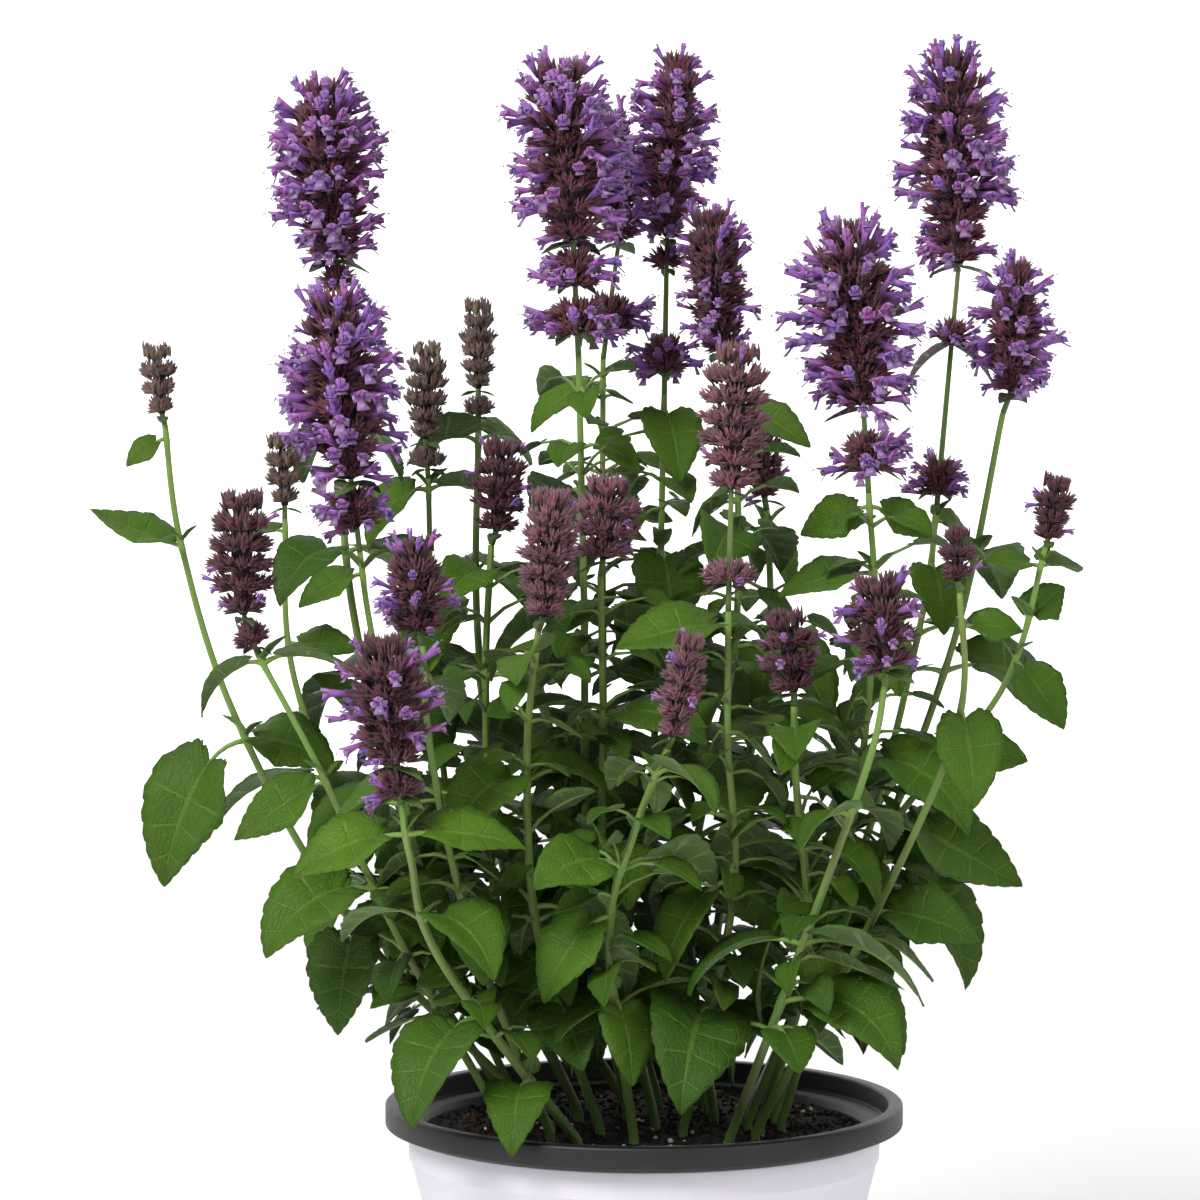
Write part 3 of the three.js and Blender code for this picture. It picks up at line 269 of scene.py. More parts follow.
def spline_point(p0, p1, p2, p3, t):
    """A point between p1 and p2 on a smooth curve through all four."""
    return 0.5 * (2 * p1 + (p2 - p0) * t + (2 * p0 - 5 * p1 + 4 * p2 - p3) * t * t
                  + (3 * p1 - p0 - 3 * p2 + p3) * t ** 3)


def stem_path(stem, steps=SPAN_STEPS):
    """A stem's line: straight down in the soil, then smooth through its points."""
    ground = (*stem.foot, SOIL_TOP + UPRIGHT_FOOT)
    knots = [np.array(p, float) for p in (ground, *stem.via, stem.end)]
    ends = [knots[0] + FOOT_EASE * (knots[0] - knots[1]), knots[-1] + TOP_EASE * (knots[-1] - knots[-2])]
    all_knots = [ends[0], *knots, ends[1]]
    points = [np.array((*stem.foot, SOIL_TOP - ROOT_DEPTH), float), knots[0]]
    for i in range(1, len(knots)):
        for j in range(1, steps + 1):
            points.append(spline_point(*all_knots[i - 1:i + 3], j / steps))
    points = np.array(points)
    run = np.concatenate([[0], np.cumsum(np.linalg.norm(np.diff(points, axis=0), axis=1))])
    return {"points": points, "run": run, "whole": run[-1]}


def point_at(path, way):
    """The point this far along a path."""
    return np.array([np.interp(way, path["run"], path["points"][:, k]) for k in range(3)])


def way_at_height(path, z):
    return np.interp(z, path["points"][:, 2], path["run"])


def twist_of(number):
    """Heading of a stem's first side: that of its first chosen leaf, or one that goes by its number."""
    for leaf in CHOSEN_LEAVES:
        if leaf.stem == number:
            return leaf.heading
    return (number * TWIST_STEP) % 90


def chord(start, end, whole, part):
    """Run, rise and end angle of the first part of an arc that turns evenly from one angle to another."""
    middle = mix(start, end, part / whole / 2)
    return part * np.cos(middle), part * np.sin(middle), mix(start, end, part / whole)


def leaf_place(leaf, along, across, lift=0.0):
    """Places on a leaf: along from its root, across from its midrib, lift from its middle layer."""
    along, across, lift = np.broadcast_arrays(*(np.asarray(v, float) for v in (along, across, lift)))
    on_blade = np.maximum(along - leaf["petiole"], 0)
    on_petiole = np.minimum(along, leaf["petiole"])
    rise = np.radians(leaf["rise"])
    turned_to = math.radians(leaf["heading"])
    heading = np.array([math.cos(turned_to), math.sin(turned_to), 0])
    x0, z0, angle0 = chord(rise[0], rise[1], leaf["petiole"], on_petiole)
    x1, z1, angle1 = chord(rise[1], rise[2], leaf["blade"], on_blade)
    angle = np.where(on_blade > 0, angle1, angle0)[..., None]
    rib = leaf["root"] + heading * (x0 + x1)[..., None] + np.array([0, 0, 1.0]) * (z0 + z1)[..., None]
    level = np.array([-heading[1], heading[0], 0])
    normal = -np.sin(angle) * heading + np.cos(angle) * np.array([0, 0, 1.0])
    share = np.minimum(1, along / (leaf["petiole"] + TURN_DONE * leaf["blade"]))[..., None]
    turn = math.radians(leaf["turn"]) * share
    sideways = level * np.cos(turn) + normal * np.sin(turn)
    up = normal * np.cos(turn) - level * np.sin(turn)
    fold = math.radians(leaf["fold"])
    raised = (np.abs(across) * math.sin(fold) + lift)[..., None]
    return rib + sideways * (across * math.cos(fold))[..., None] + up * raised


def leaf_samples(leaf):
    """Points spread over a leaf, to test what it would touch."""
    t = np.repeat(np.arange(11) / 10, 7)
    j = np.tile(np.arange(-3, 4), 11)
    width = leaf["half_width"] * np.minimum(1, 0.5 + 3 * t)
    width = width * np.minimum(1, np.sqrt(1.35 * (1 - t)) + 0.02)
    on_petiole = [0.45 * leaf["petiole"], 0.9 * leaf["petiole"]]
    along = np.concatenate([on_petiole, leaf["petiole"] + t * leaf["blade"]])
    return leaf_place(leaf, along, np.concatenate([[0, 0], j / 3 * width]))


def centre_of(points):
    """The middle of a cloud of points and the radius round it that holds them."""
    low, high = points.min(0), points.max(0)
    return (low + high) / 2, np.linalg.norm(high - low) / 2


def segment_distances(points, bars):
    """Distance from each point to each bar's segment."""
    start, along = bars["a"], bars["b"] - bars["a"]
    from_start = points[:, None, :] - start[None]
    share = np.clip((from_start * along).sum(2) / (along * along).sum(1), 0, 1)
    return np.linalg.norm(from_start - share[..., None] * along, axis=2)


def cover_radius(z):
    """The cover pot's outer radius at a height."""
    low = min(z, COLLAR_Z)
    return COVER_FOOT_RADIUS + COVER_SLOPE * low + COVER_FLARE * low * low + COLLAR_SLOPE * (z - low)


def grow_radius(z):
    return cover_radius(z) - COVER_WALL - GROW_CLEARANCE


def soil_radius(z):
    return grow_radius(z) - GROW_WALL - GAP


def touches_pot(points):
    """Whether points come too near the pots or the soil."""
    radius, z = np.hypot(points[:, 0], points[:, 1]), points[:, 2]
    outside = radius > RIM_RADIUS + LEAF_CLEARANCE
    inside = (radius > soil_radius(SOIL_TOP) - LEAF_CLEARANCE / 2) | (z < SOIL_TOP + LEAF_CLEARANCE + 1)
    return bool(((z <= RIM_TOP + LEAF_CLEARANCE) & np.where(outside, z < LOWEST_TIP, inside)).any())


def is_clear(leaf, samples, bars, placed, clearance=LEAF_CLEARANCE):
    """Whether a leaf's points stay clear of the pots, the stems, the spikes and the leaves placed so far."""
    if touches_pot(samples):
        return False
    centre, radius = centre_of(samples)
    near = segment_distances(centre[None], bars)[0] <= radius + bars["radius"]
    if near.any():
        close = {key: value[near] for key, value in bars.items()}
        hit = segment_distances(samples, close) < close["radius"]
        hit[:OWN_STEM_SAMPLES, close["stem"] == leaf["stem"]] = False
        if hit.any():
            return False
    for other in placed:
        if math.dist(centre, other["centre"]) > radius + other["radius"] + clearance:
            continue
        apart = np.linalg.norm(samples[:, None] - other["samples"][None], axis=2)
        if (apart < clearance).any():
            return False
    return True


# Changes tried in turn until a leaf is clear: heading, rise, scale
TRIES = [(heading, rise, scale) for scale in (1, 0.86, 0.74) for rise in (0, -22, 18)
         for heading in (0, 14, -14, 28, -28, 44, -44)]


def try_leaf(leaf, bars, placed, tries=TRIES, clearance=LEAF_CLEARANCE):
    """Places a leaf with the first of the changes that makes it clear, or leaves it out."""
    for heading, rise, scale in tries:
        first, second, third = leaf["rise"]
        tried = {
            **leaf,
            "heading": leaf["heading"] + heading,
            "rise": (first + rise / 2, second + rise, third + rise),
            "blade": leaf["blade"] * scale,
            "half_width": leaf["half_width"] * scale,
        }
        samples = leaf_samples(tried)
        if is_clear(tried, samples, bars, placed, clearance):
            centre, radius = centre_of(samples)
            placed.append({**tried, "samples": samples, "centre": centre, "radius": radius})
            return


def ruled_leaf(draw, age, outward):
    """A leaf by the rule, from young (0) to old (1)."""
    a, b, c, d, e = [draw() for _ in range(5)]
    blade = mix(*RULED["blade"], age) * mix(*RULED["blade_scale"], a)
    droop = mix(*RULED["droop"], age) + RULED["droop_more"] * b
    return {
        "heading": outward + RULED["heading_spread"] * (c - 0.5),
        "rise": (mix(*RULED["petiole_rise"], age), RULED["foot_rise"] - droop / 2, RULED["tip_rise"] - droop),
        "turn": RULED["turn_spread"] * (d - 0.5),
        "petiole": mix(*RULED["petiole"], age) * mix(*RULED["petiole_scale"], e),
        "blade": blade,
        "half_width": blade * mix(*RULED["width"], e),
        "fold": mix(*RULED["fold"], b),
    }


def clearance_bars(paths):
    """What a leaf must stay clear of: stems, spikes and rings, as bars with a radius."""
    rows = []
    for number, (stem, path) in enumerate(zip(STEMS, paths), 1):
        points = path["points"]
        end, base, tip = (np.array(p, float) for p in (stem.end, stem.base, stem.tip))
        rows += [(number, points[i - 1], points[i], STEM_CLEARANCE) for i in range(1, len(points))]
        rows.append((number, end, base, STEM_CLEARANCE))
        rows.append((0, base, tip, stem.radius + HEAD_CLEARANCE))
        for share, radius in stem.rings:
            middle = mix(end, base, share)
            rows.append((0, middle, middle + np.array([0, 0, 2.0]), radius + HEAD_CLEARANCE))
    return {
        "stem": np.array([row[0] for row in rows]),
        "a": np.array([row[1] for row in rows]),
        "b": np.array([row[2] for row in rows]),
        "radius": np.array([row[3] for row in rows]),
    }


def place_leaves(paths):
    """Every leaf: the chosen ones first, then opposite pairs, each turned a quarter from the last."""
    bars, placed = clearance_bars(paths), []
    for leaf in CHOSEN_LEAVES:
        path = paths[leaf.stem - 1]
        way = way_at_height(path, leaf.height)
        try_leaf({
            "stem": leaf.stem, "way": way, "root": point_at(path, way), "heading": leaf.heading,
            "rise": leaf.rise, "turn": leaf.turn, "petiole": leaf.petiole, "blade": leaf.blade,
            "half_width": leaf.blade * leaf.width, "fold": CHOSEN_FOLD,
        }, bars, placed)
    for number, (stem, path) in enumerate(zip(STEMS, paths), 1):
        taken = [way_at_height(path, leaf.height) for leaf in CHOSEN_LEAVES if leaf.stem == number]
        draw = drawer(SEED + 100 * number)
        pairs = math.floor((stem.end[2] - SOIL_TOP - LOWEST_LEAF) / LEAF_SPACING + 0.5)
        for pair in range(pairs + 1):
            back = TOP_LEAF + LEAF_SPACING * (pair + SPACING_SPREAD * (draw() - 0.5))
            way = path["whole"] - back
            root = point_at(path, way)
            free = all(abs(other - way) > NODE_SPACING for other in taken)
            free = free and not stem.bare[0] <= root[2] <= stem.bare[1]
            for half in (0, 2):
                outward = twist_of(number) + 90 * (pair % 2 + half)
                leaf = ruled_leaf(draw, min(1, back / AGE_SPAN), outward)
                if free:
                    try_leaf({**leaf, "stem": number, "way": way, "root": root}, bars, placed)
    return placed


# Small leaves of the side shoots, which stand in the angles of the leaves and between the pairs
SHOOT_SPACING = 15
SHOOT_START = 12
LOWEST_SHOOT = 55
SHOOT_TOP = 400
SHOOT_REACH = 92
SHOOT_CLEARANCE = 2.2
SHOOT_LEAF = {"blade": (13, 23), "young": 0.7, "heading": 80, "petiole_rise": (50, 25),
              "foot_rise": (15, -25), "tip_rise": (-10, -70), "turn": 90, "petiole": (5, 20),
              "width": (0.36, 0.44), "fold": 14}
SHOOT_TRIES = [(heading, rise, scale) for scale in (1, 0.75) for rise in (0, -25, 25)
               for heading in (0, 25, -25)]


def place_shoot_leaves(paths, leaves):
    """Small leaves on short side shoots, wherever there is room between the others."""
    bars = clearance_bars(paths)
    placed = list(leaves)
    for number, path in enumerate(paths, 1):
        draw = drawer(SEED + 3000 * number)
        count = int((path["whole"] - LOWEST_SHOOT) / SHOOT_SPACING)
        for level in range(count):
            way = path["whole"] - SHOOT_START - SHOOT_SPACING * (level + 0.5 * draw())
            root = point_at(path, way)
            if root[2] > SHOOT_TOP or math.hypot(root[0], root[1]) > SHOOT_REACH:
                continue
            age = min(1, (path["whole"] - way) / AGE_SPAN)
            for side in (45, 165, 285):
                a, b, c, d = [draw() for _ in range(4)]
                blade = mix(*SHOOT_LEAF["blade"], a) * mix(SHOOT_LEAF["young"], 1.0, age)
                rise = [mix(*SHOOT_LEAF[name], chance)
                        for name, chance in (("petiole_rise", c), ("foot_rise", c), ("tip_rise", d))]
                try_leaf({
                    "stem": number, "way": way, "root": root, "rise": rise,
                    "heading": twist_of(number) + side + SHOOT_LEAF["heading"] * (b - 0.5),
                    "turn": SHOOT_LEAF["turn"] * (d - 0.5), "petiole": mix(*SHOOT_LEAF["petiole"], b),
                    "blade": blade, "half_width": blade * mix(*SHOOT_LEAF["width"], c),
                    "fold": SHOOT_LEAF["fold"], "shoot": True,
                }, bars, placed, SHOOT_TRIES, SHOOT_CLEARANCE)
    return placed


# Meshes


class Shape:
    """Vertices, faces, finishes and marks of one piece, gathered part by part. A mark is three numbers on
    each vertex that the materials read."""

    def __init__(self):
        self.points, self.faces, self.finish, self.marks, self.count = [], [], [], [], 0

    def add(self, points, faces, finish, marks):
        """Adds points and groups of faces that count from the first of them."""
        points = np.asarray(points, float)
        self.add_faces([np.asarray(group, int) + self.count for group in faces], finish)
        self.points.append(points)
        self.marks.append(np.broadcast_to(np.asarray(marks, float), points.shape))
        self.count += len(points)

    def add_faces(self, groups, finish):
        for group in groups:
            self.faces.extend(group.tolist())
            self.finish.extend([finish] * len(group))

    def add_shape(self, other, finish, offset=(0, 0, 0)):
        """Takes over another shape, all in one finish."""
        faces = [[face] for face in other.faces]
        self.add(np.concatenate(other.points) + offset, faces, finish, np.concatenate(other.marks))

    def add_mesh(self, mesh, finish, tone=None):
        """Takes over a plain mesh that a node tree made, with its own marks."""
        points = np.empty(len(mesh.vertices) * 3)
        mesh.vertices.foreach_get("co", points)
        marks = np.zeros((len(mesh.vertices), 3))
        if "mark" in mesh.attributes:
            mesh.attributes["mark"].data.foreach_get("vector", marks.ravel())
        if tone is not None:
            tones = np.empty(len(mesh.vertices))
            mesh.attributes[tone].data.foreach_get("value", tones)
            marks[:, 2] = tones
        for polygon in mesh.polygons:
            self.faces.append([i + self.count for i in polygon.vertices])
            self.finish.append(finish)
        self.points.append(points.reshape(-1, 3))
        self.marks.append(marks)
        self.count += len(mesh.vertices)

    def mesh(self, name, scale=1.0):
        mesh = bpy.data.meshes.new(name)
        mesh.from_pydata((np.concatenate(self.points) * scale).tolist(), [], self.faces)
        mesh.polygons.foreach_set("material_index", self.finish)
        mesh.polygons.foreach_set("use_smooth", [True] * len(self.faces))
        marks = mesh.attributes.new("mark", "FLOAT_VECTOR", "POINT")
        marks.data.foreach_set("vector", np.concatenate(self.marks).ravel())
        return mesh


def show(name, mesh, finishes, slot, *nodes):
    """Puts a piece in the scene in place of its CAD nodes."""
    for finish in finishes:
        mesh.materials.append(finish)
    piece = bpy.data.objects.new(name, mesh)
    bpy.context.scene.collection.objects.link(piece)
    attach(piece, "root")
    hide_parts(*nodes)


def applied(holder, modifier):
    """What a modifier makes of its object, as a plain mesh. The object goes."""
    bpy.context.view_layer.update()
    depsgraph = bpy.context.evaluated_depsgraph_get()
    mesh = bpy.data.meshes.new_from_object(holder.evaluated_get(depsgraph), depsgraph=depsgraph)
    holder.modifiers.remove(modifier)
    bpy.data.objects.remove(holder)
    return mesh


def grown(tree, source, inputs):
    """Runs a node tree on a source mesh and returns the result as a plain mesh."""
    holder = bpy.data.objects.new("holder", source)
    bpy.context.scene.collection.objects.link(holder)
    modifier = holder.modifiers.new("grow", "NODES")
    modifier.node_group = tree
    for item in tree.interface.items_tree:
        if item.item_type == "SOCKET" and item.in_out == "INPUT" and item.name in inputs:
            modifier[item.identifier] = inputs[item.name]
    return applied(holder, modifier)


def grid_faces(rows, columns, closed=False):
    """Quads between the points of a grid laid row by row, with each row closed on itself if asked."""
    i = np.arange(rows - 1)[:, None] * columns
    j = np.arange(columns if closed else columns - 1)[None]
    k = (j + 1) % columns
    return np.stack([i + j, i + k, i + columns + k, i + columns + j], -1).reshape(-1, 4)


def closed_faces(rows, sides):
    """Faces of a body of rings, closed at each end to a point. The two points follow the rings' own."""
    j = np.arange(sides)
    k = (j + 1) % sides
    end, first = (rows - 1) * sides, rows * sides
    first_cap = np.stack([np.full(sides, first), k, j], 1)
    last_cap = np.stack([np.full(sides, first + 1), end + j, end + k], 1)
    return [grid_faces(rows, sides, True), first_cap, last_cap]


def add_tube(shape, centres, rights, backs, radii, sides, finish, marks):
    """A closed tube through centres, with a frame and a radius at each."""
    angle = 2 * math.pi * np.arange(sides) / sides
    ring = rights[:, None] * np.cos(angle)[None, :, None] + backs[:, None] * np.sin(angle)[None, :, None]
    points = (centres[:, None] + ring * np.asarray(radii)[:, None, None]).reshape(-1, 3)
    points = np.concatenate([points, centres[:1], centres[-1:]])
    marks = np.concatenate([np.repeat(marks, sides, axis=0), marks[:1], marks[-1:]])
    shape.add(points, closed_faces(len(centres), sides), finish, marks)


# Half a blade's outline: share of its length, share of its half width. It starts beside the petiole, runs
# back round the lobe at its foot and out to the tip.
BLADE_OUTLINE = np.array([
    (0.0, 0.05), (-0.055, 0.24), (-0.08, 0.5), (-0.03, 0.78), (0.09, 0.97), (0.24, 1.0),
    (0.4, 0.93), (0.56, 0.77), (0.71, 0.56), (0.84, 0.34), (0.94, 0.14), (1.0, 0.0),
])
TOOTH_DEPTH = 0.034
TOOTH_STEPS = (0.0, 0.4, 0.85)
TOOTH_START = 0.14
LATERAL_VEINS = 6
BLADE_THICKNESS = 0.45
QUILT_HEIGHT = 0.02
EDGE_WAVE = 0.022
EDGE_WAVES = 7
# The rows of a blade's faces crowd on the midrib near its foot by this power
RIB_CROWDING = 1.6
TINY = 1e-9
SMALL_BLADE = 20
LARGE_BLADE = 33
# Teeth on each side of a small, a middling and a large blade
TEETH = (5, 8, 10)
# Where the blade's faces end between the midrib and the edge: on a large blade and on a small one
LARGE_COLUMNS = np.array([0, 0.3, 0.66, 1.0])
SMALL_COLUMNS = np.array([0, 0.55, 1.0])
PETIOLE_RADIUS = 0.95
RIB_RADIUS = 0.5
RIB_TIP_RADIUS = 0.14
RIB_END = 0.9
UPPER, UNDER, GREEN = 0, 1, 2


def blade_outline(shares):
    """Smooth points of the half outline at shares of its own length."""
    padded = np.concatenate([2 * BLADE_OUTLINE[:1] - BLADE_OUTLINE[1:2], BLADE_OUTLINE,
                             2 * BLADE_OUTLINE[-1:] - BLADE_OUTLINE[-2:-1]])
    fine = np.concatenate([
        [spline_point(*padded[i - 1:i + 3], step / 6) for step in range(6)]
        for i in range(1, len(BLADE_OUTLINE))
    ] + [BLADE_OUTLINE[-1:]])
    run = np.concatenate([[0], np.cumsum(np.linalg.norm(np.diff(fine, axis=0), axis=1))])
    return np.stack([np.interp(shares * run[-1], run, fine[:, k]) for k in range(2)], 1)


def outline_rows(teeth, tooth_steps):
    """Rows of a blade from its foot to its tip, with how far each stands out on a tooth."""
    lead = np.linspace(0, TOOTH_START, 4)[:-1]
    steps = (np.arange(teeth)[:, None] + np.array(tooth_steps)[None]).ravel() / teeth
    shares = np.concatenate([lead, TOOTH_START + (1 - TOOTH_START) * steps])
    phase = np.tile(tooth_steps, teeth)
    height = np.sin(math.pi * phase ** 1.25) ** 0.8 * np.clip(1.5 - 1.3 * steps, 0, 1)
    return shares, np.concatenate([np.zeros(len(lead)), height])


def toothed_edge(leaf, shares, height, draw):
    """Half the blade's edge with its teeth, in shares of the blade's length and of its half width."""
    edge = blade_outline(shares)
    ahead = np.gradient(edge, axis=0)
    outward = np.stack([-ahead[:, 1], ahead[:, 0]], 1)
    outward *= np.sign(outward[:, 1:2] + TINY)
    outward /= np.linalg.norm(outward, axis=1)[:, None] + TINY
    depth = TOOTH_DEPTH * mix(0.8, 1.2, draw())
    slimness = np.array([1.0, leaf["blade"] / leaf["half_width"]])
    return edge + outward * (depth * height)[:, None] * slimness


def blade_relief(leaf, shares, sides, draw):
    """How far a blade rises between its lateral veins and waves towards its edge."""
    wave, phase = EDGE_WAVE * leaf["blade"] * (0.4 + draw()), 2 * math.pi * draw()
    part = np.abs(sides)
    quilt = 0.5 - 0.5 * np.cos(2 * math.pi * LATERAL_VEINS * shares)
    middle = np.sin(math.pi * np.clip(part, 0, 1) ** 0.8)
    lift = QUILT_HEIGHT * leaf["blade"] * quilt * middle * (1 - shares ** 3)
    ripple = np.sin(EDGE_WAVES * shares + phase + 0.8 * np.sign(sides))
    return lift + wave * ripple * part ** 2 * shares ** 0.5


def blade_faces(rows, columns):
    """Faces of a blade's upper side and of its rim. The tip follows the rows, then comes the under side."""
    tip = rows * columns
    last = (rows - 1) * columns + np.arange(columns - 1)
    fan = np.stack([last + 1, last, np.full(columns - 1, tip)], 1)
    right = np.arange(rows) * columns + columns - 1
    left = (np.arange(rows) * columns)[::-1]
    loop = np.concatenate([np.arange(columns), right[1:], [tip], left[:-1]])
    after = np.roll(loop, -1)
    rim = np.stack([loop, after, after + tip + 1, loop + tip + 1], 1)
    return grid_faces(rows, columns)[:, ::-1], fan, rim


def add_blade(shape, leaf, draw, tone):
    """A thin closed blade with toothed edges, raised between its lateral veins and sunk along its midrib."""
    small = leaf["blade"] < SMALL_BLADE
    teeth = TEETH[(leaf["blade"] >= SMALL_BLADE) + (leaf["blade"] > LARGE_BLADE)]
    shares, height = outline_rows(teeth, TOOTH_STEPS[:2] if small else TOOTH_STEPS)
    edge = toothed_edge(leaf, shares, height, draw)
    half_columns = SMALL_COLUMNS if small else LARGE_COLUMNS
    sides = np.concatenate([-half_columns[:0:-1], half_columns])
    shares = shares[:, None]
    lift = blade_relief(leaf, shares, sides, draw)
    rib = shares ** RIB_CROWDING
    t = rib + (edge[:, :1] - rib) * np.abs(sides) ** 0.9
    along = leaf["petiole"] + np.maximum(t, 0) * leaf["blade"]
    across = edge[:, 1:] * sides * leaf["half_width"]
    foot = leaf_place(leaf, [leaf["petiole"], leaf["petiole"] + 1], [0.0, 0.0])
    back = (np.minimum(t, 0) * leaf["blade"])[..., None] * unit(foot[1] - foot[0])
    layers = []
    for half in (BLADE_THICKNESS / 2, -BLADE_THICKNESS / 2):
        thin = half * (1 - 0.5 * np.abs(sides))
        points = leaf_place(leaf, along, across, lift + thin) + back
        tip = leaf_place(leaf, [leaf["petiole"] + leaf["blade"]], [0.0], [half / 2])
        layers.append(np.concatenate([points.reshape(-1, 3), tip]))
    marks = np.stack(np.broadcast_arrays(shares, sides, tone), -1).reshape(-1, 3)
    marks = np.concatenate([marks, [[1, 0, tone]]])
    quads, fan, rim = blade_faces(len(shares), len(sides))
    under = shape.count + len(marks)
    shape.add(np.concatenate(layers), [quads, fan, rim], UPPER, np.concatenate([marks, marks]))
    shape.add_faces([quads[:, ::-1] + under, fan[:, ::-1] + under], UNDER)


def add_petiole(shape, leaf, tone):
    """A petiole that runs on as the raised midrib under the blade."""
    small = leaf["blade"] < SMALL_BLADE
    on_petiole = np.linspace(0, leaf["petiole"], 3 if small else 5)
    on_blade = leaf["petiole"] + leaf["blade"] * RIB_END * np.linspace(0.06, 1, 3 if small else 6)
    along = np.concatenate([on_petiole, on_blade])
    share = np.maximum(along - leaf["petiole"], 0) / (leaf["blade"] * RIB_END)
    petiole = PETIOLE_RADIUS * mix(1.25, 0.72, along / leaf["petiole"])
    radii = np.where(share > 0, mix(RIB_RADIUS, RIB_TIP_RADIUS, share), petiole)
    radii = radii * min(1, 0.45 + leaf["blade"] / 50)
    sunk = np.where(share > 0, -BLADE_THICKNESS / 2 - 0.25 * radii, 0)
    centres = leaf_place(leaf, along, 0 * along, sunk)
    sideways = leaf_place(leaf, along, 0 * along + 1, sunk) - centres
    sideways /= np.linalg.norm(sideways, axis=1)[:, None]
    ahead = np.gradient(centres, axis=0)
    up = np.cross(ahead, sideways)
    up /= np.linalg.norm(up, axis=1)[:, None]
    sideways = np.cross(up, ahead / np.linalg.norm(ahead, axis=1)[:, None])
    marks = np.stack([np.ones(len(along)), share, np.full(len(along), tone)], 1)
    add_tube(shape, centres, sideways, up, radii, 4 if small else 6, GREEN, marks)


# Leafy stems

SWELLING = 0.2
SWELLING_LENGTH = 2.4
STEM_STEP = 3.0
# Steps of a stem's line between two of its points, many more than the CAD model's
SMOOTH_STEPS = 12
# Young leaves stand in this share of the nodes, no further than this from the stem's top
YOUNG_SHARE = 0.6
YOUNG_REACH = 220
YOUNG_LEAF = {"lift": 0.8, "heading": 60, "rise": (75, 55), "tip": (10, 40), "turn": 60, "petiole": 2.2,
              "blade": (6, 11), "width": 0.33, "fold": 16}


def add_stem(shape, tree, path, nodes, twist, radii, tone):
    """A square rod through a path, made by the rod tree, thicker where leaves grow on it."""
    count = max(3, int(path["whole"] / STEM_STEP))
    ways = np.linspace(0, path["whole"], count)
    points = np.stack([np.interp(ways, path["run"], path["points"][:, k]) for k in range(3)], 1)
    swell = sum((SWELLING * np.exp(-((ways - way) / SWELLING_LENGTH) ** 2) for way in nodes), 0 * ways)
    line = bpy.data.meshes.new("line")
    line.from_pydata(points.tolist(), [(i, i + 1) for i in range(count - 1)], [])
    girth = line.attributes.new("girth", "FLOAT", "POINT")
    girth.data.foreach_set("value", mix(radii[0], radii[1], ways / path["whole"]) * (1 + swell))
    marks = line.attributes.new("mark", "FLOAT_VECTOR", "POINT")
    shares = np.stack([ways / path["whole"], np.clip(swell / SWELLING, 0, 1), np.full(count, tone)], 1)
    marks.data.foreach_set("vector", shares.ravel())
    shape.add_mesh(grown(tree, line, {"Twist": math.radians(twist)}), GREEN)


def add_young_leaves(shape, path, way, heading, draw, tone):
    """A pair of very young leaves in the angles of a pair of leaves."""
    for side in (0, 180):
        leaf = {
            "root": point_at(path, way) + np.array([0, 0, YOUNG_LEAF["lift"]]),
            "heading": heading + side + YOUNG_LEAF["heading"] * (draw() - 0.5),
            "rise": (*YOUNG_LEAF["rise"], mix(*YOUNG_LEAF["tip"], draw())),
            "turn": YOUNG_LEAF["turn"] * (draw() - 0.5),
            "petiole": YOUNG_LEAF["petiole"],
            "blade": mix(*YOUNG_LEAF["blade"], draw()),
            "fold": YOUNG_LEAF["fold"],
        }
        leaf["half_width"] = YOUNG_LEAF["width"] * leaf["blade"]
        add_blade(shape, leaf, draw, 0.85 + 0.3 * tone)
        add_petiole(shape, leaf, 0.8)


def leafy_stem(number, stem, path, own, tree):
    """A stem with its own leaves and the very young ones in their angles."""
    draw = drawer(SEED + 9000 + number)
    shape = Shape()
    nodes = sorted({float(leaf["way"]) for leaf in own if "shoot" not in leaf})
    line = stem_path(stem, SMOOTH_STEPS)
    add_stem(shape, tree, line, nodes, twist_of(number), (STEM_FOOT_RADIUS, STEM_TOP_RADIUS), draw())
    for leaf in own:
        age = min(1, max(0, (path["whole"] - leaf["way"]) / AGE_SPAN))
        # A leaf's tone is high near the stem's top and low further down, with a random spread: partly the
        # paler green of young leaves, partly painted shade on the leaves low in the plant.
        tone = mix(0.75, 0.3, age) + 0.35 * (draw() - 0.5)
        add_blade(shape, leaf, draw, tone)
        add_petiole(shape, leaf, tone)
    for way in nodes:
        heading = next(leaf["heading"] for leaf in own if float(leaf["way"]) == way)
        if draw() < YOUNG_SHARE and path["whole"] - way < YOUNG_REACH:
            add_young_leaves(shape, path, way, heading, draw, draw())
    return shape


# Flower spikes

# Rings wider than this have two floors
DOUBLE_RING = 12
RING_ROW = 2.6
SPIKE_START = 0.13
SPIKE_PART = 0.72
SPIKE_FLATNESS = 0.6
CORE_SHARE = 0.3
CORE_SIDES = 9
CROWN_START = 0.8
CALYX_SPACING = 3.3
CALYX_LENGTH = 7.4
COROLLA_LENGTH = 14.0
# Calyces: more lean at the crown and its spread in degrees, ranges of length and reach, nearest foot
CROWN_LEAN = 58
LEAN_SPREAD = 46
CALYX_LENGTHS = (0.78, 1.22)
CALYX_REACHES = (0.82, 1.18)
LEAST_FOOT = 0.3
# Corollas: spread and droop in degrees, range of reach, least and greatest length as shares of a full one's
COROLLA_SPREAD = 26
COROLLA_DROOP = 4
COROLLA_REACHES = (0.82, 1.16)
SHORTEST_COROLLA = 0.62
LONGEST_COROLLA = 1.2
WHORL_SPACING = 6.6
# Rows of a whorl: height, reach, added lean in degrees, share of the whorl's corollas
WHORL_ROWS = ((-1.5, 0.92, -15, 0.6), (0.2, 1.0, 0, 1.0), (1.9, 0.8, 15, 0.45))
